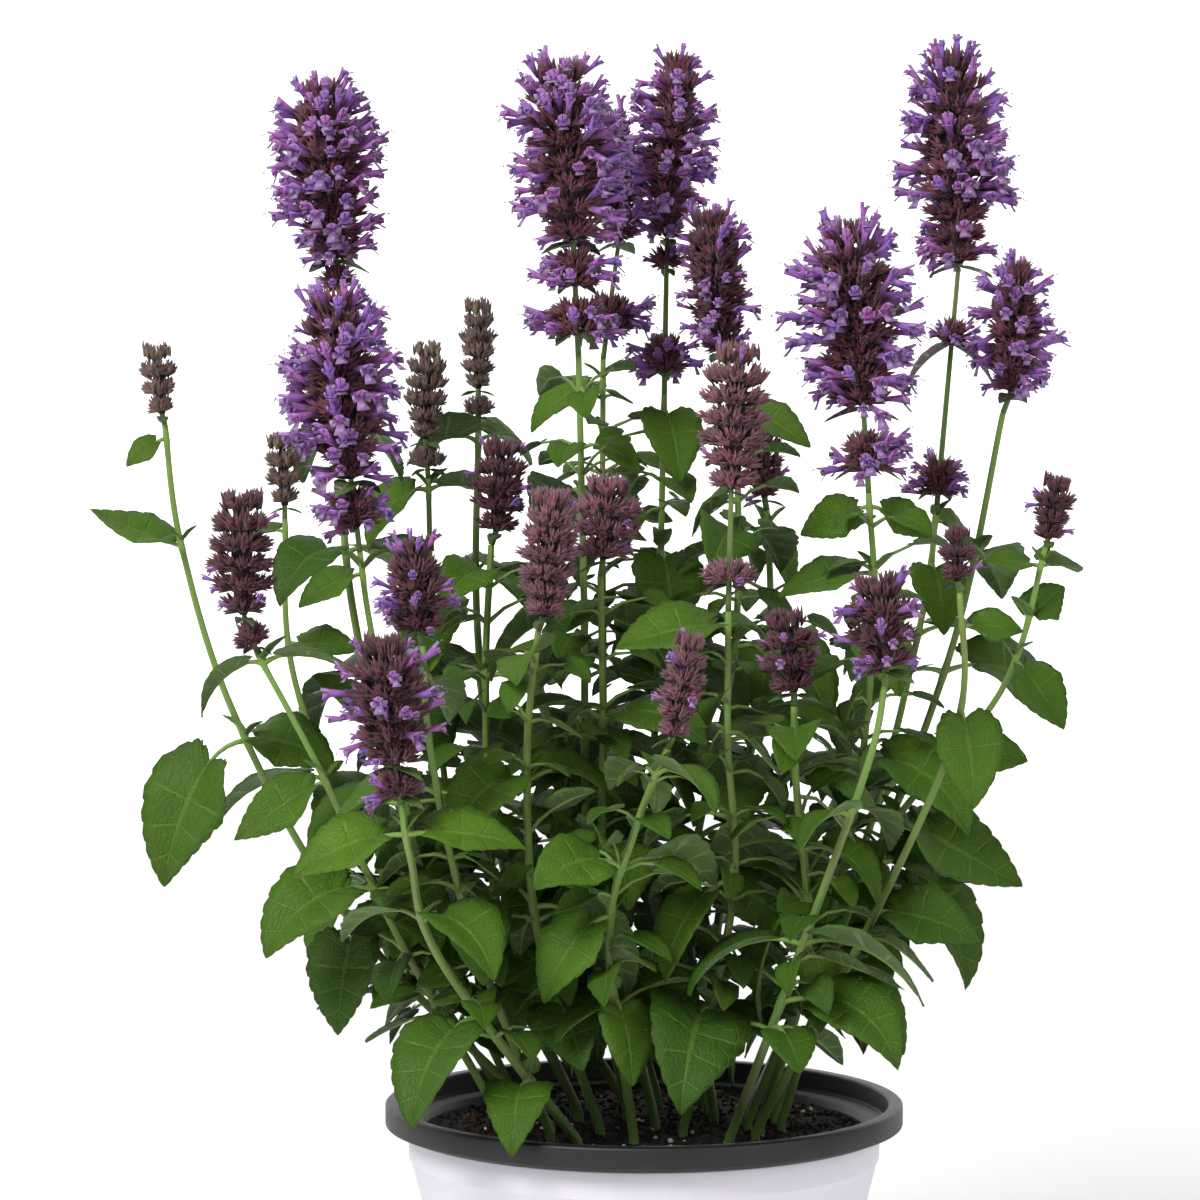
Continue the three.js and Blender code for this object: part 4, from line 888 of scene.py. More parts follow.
# The stems whose narrow ring has two long dark bracts that hang down
DROOPING_BRACTS = (13,)
DROOPING_RING = 10
STALK_FINISH, CALYX_FINISH, COROLLA_FINISH, CORE_FINISH, BRACT_FINISH = range(5)

# Each kind of spike: how far its calyx tips reach as a share of its radius, share of its calyces with an open
# corolla, how far those reach, lean upwards in degrees, distance of its whorls as a share of a full one's,
# and the finish and the slot of its calyces
Kind = namedtuple("Kind", "calyx corollas reach lean whorl finish slot")
KINDS = {
    "open": Kind(0.64, 0.4, 1.08, 16, 1.1, "ripe_calyx", "violet_flowers"),
    "dusk": Kind(0.74, 0.24, 1.06, 20, 1.1, "dark_calyx", "dusky_flowers"),
    "dark": Kind(0.95, 0.04, 1.0, 22, 1.2, "dark_calyx", "dark_flowers"),
    "faded": Kind(0.95, 0.03, 1.0, 20, 1.25, "dry_calyx", "faded_flowers"),
    "bud": Kind(1.0, 0.0, 0.9, 38, 1.3, "bud_calyx", "flower_buds"),
}

CALYX_RINGS = ((0.0, 0.5), (3.4, 1.38))
CALYX_TIP = (7.6, 1.75)
CALYX_THROAT = 3.8
# Each floret has two forms: its bend, and for a corolla how wide it gapes
CALYX_BENDS = (0.0, 0.012)
COROLLA_BENDS = ((0.004, 1.0), (-0.008, 1.25))
COROLLA_RINGS = ((3.6, 0.7), (8.6, 1.1), (12.0, 1.7))
COROLLA_THROAT = 10.4
# Lobes of a corolla, from the two of the upper lip to the broad one of the lower: angle from the top, reach
# from the axis, place along it, half width in degrees
COROLLA_LOBES = ((-26, 1.9, 14.4, 21), (26, 1.9, 14.4, 21), (104, 2.5, 13.2, 21), (180, 3.5, 13.8, 29),
                 (256, 2.5, 13.2, 21))
COROLLA_NOTCHES = (0, 62, 140, 220, 298)
# Stamens: angle from the top, reach from the axis, place along it
STAMENS = ((-30, 1.2, 15.4), (24, 1.4, 14.9))
STAMEN_FOOT = 10.0
FILAMENT_RADIUS = 0.2
ANTHER_RADIUS = 0.42
ANTHER_LENGTH = 0.95


def around_axis(angle, reach, z):
    angle = np.radians(angle)
    return np.stack(np.broadcast_arrays(reach * np.cos(angle), reach * np.sin(angle), z), -1)


def bent(points, bend):
    """Bends a flower towards its upper side, more the further out it goes."""
    points = points.copy()
    points[:, 0] += bend * points[:, 2] ** 2
    return points


def calyx_shape(bend):
    """A ribbed five-toothed cup, closed inside by its throat."""
    notches = 72 * np.arange(5)
    rings = [around_axis(notches, radius, z) for z, radius in CALYX_RINGS]
    tips = around_axis(notches + 36, CALYX_TIP[1], CALYX_TIP[0])
    points = np.concatenate([[[0, 0, 0]], *rings, tips, [[0, 0, CALYX_THROAT]]])
    j = np.arange(5)
    k = (j + 1) % 5
    throat = np.full(5, len(points) - 1)
    faces = [
        np.stack([0 * j, 1 + k, 1 + j], 1),
        1 + grid_faces(2, 5, True),
        np.stack([6 + j, 6 + k, 11 + j], 1),
        np.stack([6 + j, 11 + j, throat], 1),
        np.stack([11 + j, 6 + k, throat], 1),
    ]
    reach = points[:, 2] / CALYX_TIP[0]
    reach[-1] = 0.25
    shape = Shape()
    shape.add(bent(points, bend), faces, 0, np.stack([reach, 0 * reach, 0 * reach], 1))
    return shape


def corolla_shape(bend, gape):
    """A two-lipped tube with five lobes and two stamens. Its upper lip is on the +X side."""
    notches = np.array(COROLLA_NOTCHES)
    rings = [around_axis(notches, radius, z) for z, radius in COROLLA_RINGS]
    corners, order = [], []
    for angle, reach, z, half in sorted(COROLLA_LOBES, key=lambda lobe: lobe[0] % 360):
        order.append(angle % 360)
        corners += [around_axis(angle - half, reach * gape, z), around_axis(angle + half, reach * gape, z)]
    foot, throat = [[0, 0, COROLLA_RINGS[0][0]]], [[0, 0, COROLLA_THROAT]]
    points = np.concatenate([foot, *rings, np.array(corners), throat])
    mouth, lobes, throat = 11, 16, len(points) - 1
    faces = [np.array([(0, 1 + (j + 1) % 5, 1 + j) for j in range(5)]), 1 + grid_faces(3, 5, True)]
    petals = []
    for lobe, angle in enumerate(order):
        low = max((n for n in range(5) if notches[n] <= angle), default=0)
        before, after = mouth + low, mouth + (low + 1) % 5
        first, second = lobes + 2 * lobe, lobes + 2 * lobe + 1
        petals += [(before, second, first), (before, after, second)]
        petals += [(before, first, throat), (first, second, throat), (second, after, throat)]
    faces.append(np.array(petals))
    reach = np.clip((points[:, 2] - COROLLA_RINGS[0][0]) / 9, 0, 1)
    reach[-1] = 0.3
    shape = Shape()
    shape.add(bent(points, bend), faces, 0, np.stack([reach, 0 * reach, 0 * reach], 1))
    faces = [np.array([(0, 2, 1), (0, 1, 3), (1, 2, 3), (2, 0, 3)])]
    corner = 120 * np.arange(3)
    for angle, spread, z in STAMENS:
        foot = around_axis(angle + corner, FILAMENT_RADIUS, STAMEN_FOOT)
        top = around_axis(angle, spread, z)
        anther = top + around_axis(corner + 60, ANTHER_RADIUS, 0.3)
        filament = np.concatenate([foot, top[None]])
        shape.add(bent(filament, bend), faces, 0, (0.75, 1, 0))
        knob = np.concatenate([anther, (top + np.array([0, 0, ANTHER_LENGTH]))[None]])
        shape.add(bent(knob, bend), faces, 0, (0.2, 2, 0))
    return shape


# Node trees


def add_node(tree, kind, inputs=None, **settings):
    """Adds a node with its settings, and sets or links its inputs."""
    node = tree.nodes.new(kind)
    for name, value in settings.items():
        setattr(node, name, value)
    for key, value in (inputs or {}).items():
        if isinstance(value, bpy.types.NodeSocket):
            tree.links.new(value, node.inputs[key])
        else:
            node.inputs[key].default_value = value
    return node


def new_tree(name, sockets):
    """A node tree with a mesh in, a mesh out and named inputs."""
    tree = bpy.data.node_groups.new(name, "GeometryNodeTree")
    tree.interface.new_socket("Geometry", in_out="OUTPUT", socket_type="NodeSocketGeometry")
    tree.interface.new_socket("Geometry", in_out="INPUT", socket_type="NodeSocketGeometry")
    for label, kind, default in sockets:
        socket = tree.interface.new_socket(label, in_out="INPUT", socket_type=kind)
        if default is not None:
            socket.default_value = default
    return tree, tree.nodes.new("NodeGroupInput").outputs


def end_tree(tree, geometry, finish):
    """Instances made real, a finish set, and out."""
    real = add_node(tree, "GeometryNodeRealizeInstances", {"Geometry": geometry})
    done = add_node(tree, "GeometryNodeSetMaterial", {"Geometry": real.outputs[0], "Material": finish})
    add_node(tree, "NodeGroupOutput", {"Geometry": done.outputs[0]})
    return tree


def rod_tree(finish):
    """A square rod with rounded edges along a line, as thick as the line's girth."""
    tree, given = new_tree("square rod", [
        ("Twist", "NodeSocketFloat", 0.0), ("Edge", "NodeSocketFloat", 0.3)])
    girth = add_node(tree, "GeometryNodeInputNamedAttribute", {"Name": "girth"}, data_type="FLOAT")
    curve = add_node(tree, "GeometryNodeMeshToCurve", {0: given["Geometry"]})
    tangent = add_node(tree, "GeometryNodeInputTangent")
    across = add_node(tree, "ShaderNodeVectorMath", {
        0: (0, 1, 0), 1: tangent.outputs[0]}, operation="CROSS_PRODUCT")
    framed = add_node(tree, "GeometryNodeSetCurveNormal", {
        "Curve": curve.outputs[0], "Normal": across.outputs[0]}, mode="FREE")
    side = math.sqrt(2)
    square = add_node(tree, "GeometryNodeCurvePrimitiveQuadrilateral", {"Width": side, "Height": side})
    softened = add_node(tree, "GeometryNodeFilletCurve", {
        "Curve": square.outputs[0], "Radius": given["Edge"], "Count": 2}, mode="POLY")
    turn = add_node(tree, "ShaderNodeCombineXYZ", {"Z": given["Twist"]})
    profile = add_node(tree, "GeometryNodeTransform", {
        "Geometry": softened.outputs[0], "Rotation": turn.outputs[0]})
    rod = add_node(tree, "GeometryNodeCurveToMesh", {
        "Curve": framed.outputs[0], "Profile Curve": profile.outputs[0], "Scale": girth.outputs[0],
        "Fill Caps": True})
    return end_tree(tree, rod.outputs[0], finish)


def floret_tree(finish):
    """A floret on each point, turned and sized by the point's own attributes."""
    tree, given = new_tree("florets on points", [
        ("Floret", "NodeSocketObject", None), ("Size", "NodeSocketFloat", 1.0)])
    turn = add_node(tree, "GeometryNodeInputNamedAttribute", {"Name": "turn"}, data_type="FLOAT_VECTOR")
    size = add_node(tree, "GeometryNodeInputNamedAttribute", {"Name": "size"}, data_type="FLOAT")
    scaled = add_node(tree, "ShaderNodeMath", {0: size.outputs[0], 1: given["Size"]}, operation="MULTIPLY")
    source = add_node(tree, "GeometryNodeObjectInfo", {"Object": given["Floret"]})
    points = add_node(tree, "GeometryNodeMeshToPoints", {"Mesh": given["Geometry"]})
    placed = add_node(tree, "GeometryNodeInstanceOnPoints", {
        "Points": points.outputs[0], "Instance": source.outputs["Geometry"], "Rotation": turn.outputs[0],
        "Scale": scaled.outputs[0]})
    return end_tree(tree, placed.outputs[0], finish)


def scatter_tree(finish):
    """Grains strewn over a surface, each turned and sized by chance."""
    tree, given = new_tree("grains on a surface", [
        ("Grain", "NodeSocketObject", None), ("Density", "NodeSocketFloat", 0.01),
        ("Seed", "NodeSocketInt", 1), ("Least size", "NodeSocketFloat", 0.5),
        ("Greatest size", "NodeSocketFloat", 1.5), ("Flatness", "NodeSocketFloat", 1.0)])
    spread = add_node(tree, "GeometryNodeDistributePointsOnFaces", {
        "Mesh": given["Geometry"], "Density": given["Density"], "Seed": given["Seed"]})
    turn = add_node(tree, "FunctionNodeRandomValue", {
        0: (0, 0, 0), 1: (2 * math.pi,) * 3, "Seed": given["Seed"]}, data_type="FLOAT_VECTOR")
    size = add_node(tree, "FunctionNodeRandomValue", {
        2: given["Least size"], 3: given["Greatest size"], "Seed": given["Seed"]}, data_type="FLOAT")
    flat = add_node(tree, "ShaderNodeMath", {0: size.outputs[1], 1: given["Flatness"]}, operation="MULTIPLY")
    scale = add_node(tree, "ShaderNodeCombineXYZ", {
        "X": size.outputs[1], "Y": size.outputs[1], "Z": flat.outputs[0]})
    source = add_node(tree, "GeometryNodeObjectInfo", {"Object": given["Grain"]})
    placed = add_node(tree, "GeometryNodeInstanceOnPoints", {
        "Points": spread.outputs["Points"], "Instance": source.outputs["Geometry"],
        "Rotation": turn.outputs[0], "Scale": scale.outputs[0]})
    return end_tree(tree, placed.outputs[0], finish)


SOURCES = []


def source_object(name, shape):
    """An object that a node tree repeats. It stays out of the scene and is removed before the end."""
    source = bpy.data.objects.new(name, shape.mesh(name))
    SOURCES.append(source)
    return source


def euler_towards(direction, up):
    """Turns +Z to a direction, and +X to the side of it nearest to up."""
    z = unit(direction)
    x = unit(up - z * np.dot(up, z))
    y = np.cross(z, x)
    return tuple(Matrix(np.stack([x, y, z], 1).tolist()).to_euler("XYZ"))


class Florets:
    """Places of one kind of floret on one spike."""

    def __init__(self):
        self.rows = []

    def add(self, place, direction, up, size, tone):
        self.rows.append((tuple(place), euler_towards(direction, up), size, tone))

    def grow(self, shape, tree, floret, finish):
        if not self.rows:
            return
        mesh = bpy.data.meshes.new("points")
        mesh.from_pydata([row[0] for row in self.rows], [], [])
        turn = mesh.attributes.new("turn", "FLOAT_VECTOR", "POINT")
        turn.data.foreach_set("vector", [v for row in self.rows for v in row[1]])
        for name, column in (("size", 2), ("tone", 3)):
            values = mesh.attributes.new(name, "FLOAT", "POINT")
            values.data.foreach_set("value", [row[column] for row in self.rows])
        shape.add_mesh(grown(tree, mesh, {"Floret": floret, "Size": 1.0}), finish, tone="tone")


# Rows, whorls and rings


def spike_bulge(share):
    """The spike's outline, as a share of its radius: a flattened arc, drawn in to a dome at the crown."""
    arc = math.sin(math.pi * (SPIKE_START + SPIKE_PART * share)) ** SPIKE_FLATNESS
    over = max(0.0, (share - CROWN_START) / (1.08 - CROWN_START))
    return arc * math.sqrt(1 - over * over)


def add_row(sets, kind, centre, axis, radius, crown, size, draw):
    """One row of calyces round the axis, some with a corolla. Crown is 1 where they stand straight up."""
    calyces, corollas = sets
    right = unit(np.cross([0, 1.0, 0], axis))
    back = np.cross(axis, right)
    tip = kind.calyx * radius
    around = max(4, round(2 * math.pi * max(0.7 * tip, 1.8) / (CALYX_SPACING * size)))
    offset = draw() * 2 * math.pi
    for j in range(around):
        angle = offset + 2 * math.pi * (j + 0.6 * (draw() - 0.5)) / around
        lean = math.radians(kind.lean + CROWN_LEAN * crown + LEAN_SPREAD * (draw() - 0.5))
        outward = right * math.cos(angle) + back * math.sin(angle)
        direction = outward * math.cos(lean) + axis * math.sin(lean)
        length = CALYX_LENGTH * size * mix(*CALYX_LENGTHS, draw())
        foot = max(LEAST_FOOT, tip * mix(*CALYX_REACHES, draw()) - length * math.cos(lean))
        place = centre + outward * foot + axis * (1.2 * (draw() - 0.5) - 0.4 * length * math.sin(lean))
        calyces[0 if draw() < 0.5 else 1].add(place, direction, axis, length / CALYX_LENGTH, draw())
        if draw() < kind.corollas * (1 + 0.35 * crown):
            droop = 0.8 * lean + math.radians(COROLLA_SPREAD * (draw() - 0.5) - COROLLA_DROOP)
            aim = outward * math.cos(droop) + axis * math.sin(droop)
            reach = kind.reach * radius * mix(*COROLLA_REACHES, draw())
            longest = LONGEST_COROLLA * (1 - crown / 3)
            long = np.clip((reach - foot) / (COROLLA_LENGTH * math.cos(droop)), SHORTEST_COROLLA, longest)
            corollas[0 if draw() < 0.5 else 1].add(place, aim, axis, long, draw())


def add_whorl(sets, kind, centre, axis, radius, crown, size, draw):
    """A whorl: rows of calyces close together, the lower ones hanging out and the upper ones leaning in."""
    for rise, reach, lean, share in WHORL_ROWS:
        row = kind._replace(lean=kind.lean + lean, corollas=kind.corollas * share)
        add_row(sets, row, centre + axis * rise * size, axis, radius * reach, crown, size, draw)


def add_core(shape, base, axis, length, radius, draw):
    """The dense middle of a spike, which its calyces hide. Its near-black finish is painted shade between
    them.
    """
    count = max(6, int(length / 2.5))
    share = np.linspace(0, 1, count)
    centres = base + axis * (share * length)[:, None]
    right = unit(np.cross([0, 1.0, 0], axis))
    back = np.cross(axis, right)
    radii = np.array([CORE_SHARE * radius * spike_bulge(s) * (0.85 + 0.3 * draw()) for s in share])
    radii[0], radii[-1] = STALK_RADIUS, 0.6
    marks = np.stack([share, 0 * share, share * 0 + draw()], 1)
    rights, backs = np.tile(right, (count, 1)), np.tile(back, (count, 1))
    add_tube(shape, centres, rights, backs, radii, CORE_SIDES, CORE_FINISH, marks)


def add_bracts(shape, centre, heading, length, draw, droop, greenness=1.0):
    """Two small leaves under a ring of flowers."""
    for side in (0, 180):
        leaf = {
            "root": centre,
            "heading": heading + side + 40 * (draw() - 0.5),
            "rise": (15, -droop * 0.4, -droop),
            "turn": 50 * (draw() - 0.5),
            "petiole": 1.5,
            "blade": length * (0.85 + 0.3 * draw()),
            "fold": 14,
        }
        leaf["half_width"] = 0.3 * leaf["blade"]
        part = Shape()
        add_blade(part, leaf, draw, greenness * draw())
        shape.add_shape(part, BRACT_FINISH)


def flower_spike(number, stem, trees, florets):
    """A spike and the rings under it, on their stalk."""
    draw = drawer(SEED + 7000 + number)
    kind = KINDS[stem.kind]
    end, base, tip = (np.array(p, float) for p in (stem.end, stem.base, stem.tip))
    stalk_axis, axis = unit(base - end), unit(tip - base)
    stalk, spike = np.linalg.norm(base - end), np.linalg.norm(tip - base)
    shape = Shape()
    calyces, corollas = (Florets(), Florets()), (Florets(), Florets())
    size = min(1.0, 0.5 + stem.radius / 40)
    whole = {"points": np.array([end, base, tip - 0.15 * spike * axis])}
    whole["run"] = np.concatenate([[0], np.cumsum(np.linalg.norm(np.diff(whole["points"], axis=0), axis=1))])
    whole["whole"] = whole["run"][-1]
    rod = Shape()
    add_stem(rod, trees["rod"], whole, [], twist_of(number), (STEM_TOP_RADIUS, 0.9), draw())
    shape.add_shape(rod, STALK_FINISH)
    sets = (calyces, corollas)
    whorls = max(3, round(spike / (WHORL_SPACING * size * kind.whorl)))
    for whorl in range(whorls):
        share = (whorl + 0.45) / (whorls - 0.35)
        radius = stem.radius * spike_bulge(share) * (0.94 + 0.12 * draw())
        crown = max(0.0, (share - 0.5) / 0.5) ** 2
        add_whorl(sets, kind, base + axis * share * spike, axis, radius, crown, size, draw)
    add_core(shape, base, axis, spike * 0.93, stem.radius, draw)
    add_bracts(shape, base - 1.5 * axis, 30 * number, 0.42 * stem.radius + 3, draw, 25)
    for share, radius in stem.rings:
        floors = (-RING_ROW, RING_ROW) if radius > DOUBLE_RING else (0,)
        for floor in floors:
            centre = end + stalk_axis * (share * stalk + floor)
            add_whorl(sets, kind, centre, stalk_axis, radius, 0.0, min(size, 0.9), draw)
            inner = kind._replace(calyx=0.55 * kind.calyx, corollas=0, lean=60)
            add_row(sets, inner, centre + 3 * stalk_axis, stalk_axis, radius, 0.1, min(size, 0.9), draw)
        foot = end + stalk_axis * (share * stalk - RING_ROW - 1)
        if number in DROOPING_BRACTS and radius < DROOPING_RING:
            add_bracts(shape, foot, 0, 26, draw, 64, 0.1)
        else:
            add_bracts(shape, foot, 30 * number + 20, 0.6 * radius + 2, draw, 35)
    for which in (0, 1):
        calyces[which].grow(shape, trees[kind.finish], florets["calyx"][which], CALYX_FINISH)
        corollas[which].grow(shape, trees["corolla"], florets["corolla"][which], COROLLA_FINISH)
    return shape


# Pots

def rounded(profile, edges):
    """A profile of (radius, height) points with each corner that has an edge radius turned into an arc."""
    points = [np.array(p, float) for p in profile]
    out = []
    for i, (point, edge) in enumerate(zip(points, edges)):
        if not edge:
            out.append(point)
            continue
        before, after = unit(points[i - 1] - point), unit(points[i + 1] - point)
        half = math.acos(np.clip(np.dot(before, after), -1, 1)) / 2
        run = edge / math.tan(half)
        centre = point + unit(before + after) * edge / math.sin(half)
        start, end = point + before * run - centre, point + after * run - centre
        for share in np.linspace(0, 1, ARC_STEPS):
            out.append(centre + unit(mix(start, end, share)) * edge)
    return np.array(out)


def add_turned(shape, profile, finish, sides=SIDES):
    """A closed body turned round the Z axis. Its profile starts and ends on the axis."""
    angle = 2 * math.pi * (np.arange(sides) + 0.5) / sides
    rings = profile[1:-1]
    xy = rings[:, 0][:, None, None] * np.stack([np.cos(angle), np.sin(angle)], -1)[None]
    z = np.broadcast_to(rings[:, 1][:, None, None], (len(rings), sides, 1))
    points = np.concatenate([xy, z], -1).reshape(-1, 3)
    points = np.concatenate([points, [[0, 0, profile[0, 1]], [0, 0, profile[-1, 1]]]])
    shape.add(points, closed_faces(len(rings), sides), finish, (0, 0, 0))


def wall_points(radius_at, low, high, inset):
    """A pot wall from one height to another, set in by the wall's thickness or not."""
    return [(radius_at(z) - inset, z) for z in np.linspace(low, high, WALL_STEPS)]


def white_pot():
    """The cover pot: a thin wall with a slight belly, under a shallow collar."""
    outside = wall_points(cover_radius, COVER_FOOT_EDGE, COLLAR_Z, 0)
    inside = wall_points(cover_radius, COVER_FLOOR, COVER_HEIGHT, COVER_WALL)[::-1]
    collar = cover_radius(COLLAR_Z) + COLLAR_STEP
    top = cover_radius(COVER_HEIGHT)
    profile = [
        (0, 0), (COVER_FOOT_RADIUS - COVER_FOOT_EDGE, 0), *outside, (collar, COLLAR_Z + COLLAR_RISE),
        (top + COLLAR_STEP, COVER_HEIGHT), *inside, (0, COVER_FLOOR),
    ]
    edges = [0, 0.6, *[0] * len(outside), 0.5, 0.9, 0.6, *[0] * (len(inside) - 2), 1.2, 0]
    shape = Shape()
    add_turned(shape, rounded(profile, edges), 0)
    return shape


def black_pot():
    """The grow pot: its rim is a hollow band, open below, that hangs on the cover pot's edge."""
    shoulder = COVER_HEIGHT + GAP
    skirt = RIM_TOP - RIM_BAND
    leg_outer, leg_inner = RIM_RADIUS - RIM_LEG, RIM_INNER_RADIUS + RIM_LEG
    outside = wall_points(grow_radius, GROW_BASE_Z, shoulder, 0)
    inside = wall_points(grow_radius, GROW_BASE_Z + GROW_WALL, shoulder + GROW_WALL, GROW_WALL)[::-1]
    profile = [
        (0, GROW_BASE_Z), *outside, (leg_inner, shoulder), (leg_inner, RIM_TOP - RIM_LEG),
        (leg_outer, RIM_TOP - RIM_LEG), (leg_outer, skirt), (RIM_RADIUS, skirt), (RIM_RADIUS, RIM_TOP),
        (RIM_INNER_RADIUS, RIM_TOP), (RIM_INNER_RADIUS - RIM_DRAFT, shoulder + GROW_WALL + RIM_STEP),
        *inside, (0, GROW_BASE_Z + GROW_WALL),
    ]
    edges = [0, 1.2, *[0] * (len(outside) - 2), 0.7, 1.5, 0.6, 0.6, 0.4, 0.6, 1.1, 1.0, 0.6,
             *[0] * (len(inside) - 1), 1.5, 0]
    shape = Shape()
    add_turned(shape, rounded(profile, edges), 0)
    return shape


def drilled(mesh):
    """The pot's mesh with the drain holes cut through its base."""
    drills = Shape()
    profile = np.array([(0, -1), (1, -1), (1, 1), (0, 1)], float) * (DRAIN_RADIUS, DRILL_REACH)
    for i in range(DRAIN_HOLES):
        angle = 2 * math.pi * i / DRAIN_HOLES
        place = np.array([DRAIN_CIRCLE * math.cos(angle), DRAIN_CIRCLE * math.sin(angle), GROW_BASE_Z])
        hole = Shape()
        add_turned(hole, profile, 0, DRILL_SIDES)
        drills.add_shape(hole, 0, place)
    pot = bpy.data.objects.new("pot", mesh)
    cutter = bpy.data.objects.new("drills", drills.mesh("drills", MM))
    for item in (pot, cutter):
        bpy.context.scene.collection.objects.link(item)
    cut = pot.modifiers.new("drain holes", "BOOLEAN")
    cut.object = cutter
    cut.operation = "DIFFERENCE"
    cut.solver = "EXACT"
    result = applied(pot, cut)
    bpy.data.objects.remove(cutter)
    return result


# Soil

SOIL_TOP_RINGS = 44
SOIL_TOP_SECTORS = 150
GROUND_RINGS = 24
GROUND_SECTORS = 72
GRAIN_SIDES = 5
# Rings of a grain: height and reach, as shares of its own
GRAIN_RINGS = ((-0.4, 0.9), (0.5, 0.8))
SOIL_HEIGHT = 1.5
SOIL_EDGE = 1.2
SOIL_MARGIN = 4
SOIL_SIDE_STEPS = 8
# Low mounds, lumps and crumbs: breadth, height, place in the noise
SOIL_RELIEF = ((23, 0.55, (0, 0, 0)), (7, 0.6, (5, 1, 2)), (2.6, 0.5, (9, 4, 7)))


def soil_height(x, y):
    """How far the soil's top lies above its level: low mounds with crumbs on them."""
    point = Vector((x, y, 0))
    relief = [high * noise.noise(point / wide + Vector(place)) for wide, high, place in SOIL_RELIEF]
    return SOIL_HEIGHT * sum(relief)


def peat_body():
    """The soil: a plain side against the pot and an uneven top."""
    bottom = GROW_BASE_Z + GROW_WALL + GAP
    side = [(soil_radius(z), z) for z in np.linspace(bottom, SOIL_TOP - SOIL_EDGE, SOIL_SIDE_STEPS)]
    top = [(soil_radius(SOIL_TOP) * (1 - i / SOIL_TOP_RINGS), SOIL_TOP) for i in range(SOIL_TOP_RINGS)]
    profile = np.array([(0, bottom), *side, *top, (0, SOIL_TOP)], float)
    shape = Shape()
    add_turned(shape, profile, 0, SOIL_TOP_SECTORS)
    points = shape.points[0]
    for i, (x, y, z) in enumerate(points):
        if z > SOIL_TOP - 0.01:
            inward = min(1, (soil_radius(SOIL_TOP) - math.hypot(x, y)) / SOIL_MARGIN)
            points[i, 2] += soil_height(x, y) * inward - SOIL_EDGE * (1 - inward) ** 2 * 0.5
    return shape


def grain(seed, length, width, height):
    """A broken lump with a few uneven faces."""
    draw = drawer(seed)
    points = []
    for z, reach in GRAIN_RINGS:
        for j in range(GRAIN_SIDES):
            angle = 2 * math.pi * (j + 0.3 * draw()) / GRAIN_SIDES
            spread = reach * mix(0.7, 1.2, draw())
            points.append((length * spread * math.cos(angle), width * spread * math.sin(angle), height * z))
    shape = Shape()
    points += [(0, 0, -height), (0, 0, height)]
    shape.add(np.array(points), closed_faces(len(GRAIN_RINGS), GRAIN_SIDES), 0, (0, 0, 0))
    return shape


def strewing_ground(margin):
    """The part of the soil's top that grains lie on."""
    radius = soil_radius(SOIL_TOP) - margin
    points = []
    for i in range(1, GROUND_RINGS + 1):
        for j in range(GROUND_SECTORS):
            reach, angle = radius * i / GROUND_RINGS, 2 * math.pi * j / GROUND_SECTORS
            x, y = reach * math.cos(angle), reach * math.sin(angle)
            points.append((x, y, SOIL_TOP + soil_height(x, y)))
    shape = Shape()
    shape.add(np.array(points), [grid_faces(GROUND_RINGS, GROUND_SECTORS, True)[:, ::-1]], 0, (0, 0, 0))
    return shape


# Grains on the soil: margin to the wall, number on each square millimetre, sizes, flatness, seed, shape
GRAINS = (
    ("peat_crumbs", 3.5, 0.085, 0.5, 1.9, 0.8, 3, (1.0, 0.8, 0.7)),
    ("perlite", 5.0, 0.0042, 0.7, 1.6, 0.8, 11, (1.0, 0.9, 0.8)),
    ("bark", 9.0, 0.0016, 0.8, 1.7, 0.9, 29, (3.6, 1.7, 0.8)),
)


def strew(shape, trees):
    """Crumbs, perlite and bark on the soil."""
    for finish, (name, margin, density, least, greatest, flatness, seed, lengths) in enumerate(GRAINS, 1):
        source = source_object(name, grain(seed, *lengths))
        ground = strewing_ground(margin).mesh("ground")
        inputs = {"Grain": source, "Density": density, "Seed": seed, "Least size": least,
                  "Greatest size": greatest, "Flatness": flatness}
        shape.add_mesh(grown(trees[name], ground, inputs), finish)


# Finishes

def linear(colour):
    """An sRGB hex colour as linear values."""
    values = [((colour >> shift) & 255) / 255 for shift in (16, 8, 0)]
    return tuple(v / 12.92 if v <= 0.04045 else ((v + 0.055) / 1.055) ** 2.4 for v in values) + (1.0,)


def new_finish(name):
    finish = bpy.data.materials.new(name)
    finish.use_nodes = True
    finish.node_tree.nodes.clear()
    return finish, finish.node_tree


def end_finish(tree, colour, roughness, normal=None, **more):
    """A Principled surface as the tree's result."""
    inputs = {"Base Color": colour, "Roughness": roughness}
    inputs.update({name.replace("_", " "): value for name, value in more.items()})
    if normal:
        inputs["Normal"] = normal
    surface = add_node(tree, "ShaderNodeBsdfPrincipled", inputs)
    add_node(tree, "ShaderNodeOutputMaterial", {"Surface": surface.outputs[0]})


def mark_of(tree):
    """The three marks on the mesh as three sockets."""
    mark = add_node(tree, "ShaderNodeAttribute", attribute_name="mark")
    return add_node(tree, "ShaderNodeSeparateXYZ", {0: mark.outputs["Vector"]}).outputs


def math_node(tree, operation, first, second=0.0, third=0.0):
    return add_node(tree, "ShaderNodeMath", {0: first, 1: second, 2: third}, operation=operation).outputs[0]


def blend(tree, share, first, second):
    """Two colours mixed. A hex colour stands for itself."""
    first = linear(first) if isinstance(first, int) else first
    second = linear(second) if isinstance(second, int) else second
    return add_node(tree, "ShaderNodeMix", {0: share, 6: first, 7: second}, data_type="RGBA").outputs[2]


def stepped(tree, value, low, high):
    """0 below low and 1 above high, smooth between."""
    return add_node(tree, "ShaderNodeMapRange", {0: value, 1: low, 2: high},
                    interpolation_type="SMOOTHSTEP").outputs[0]


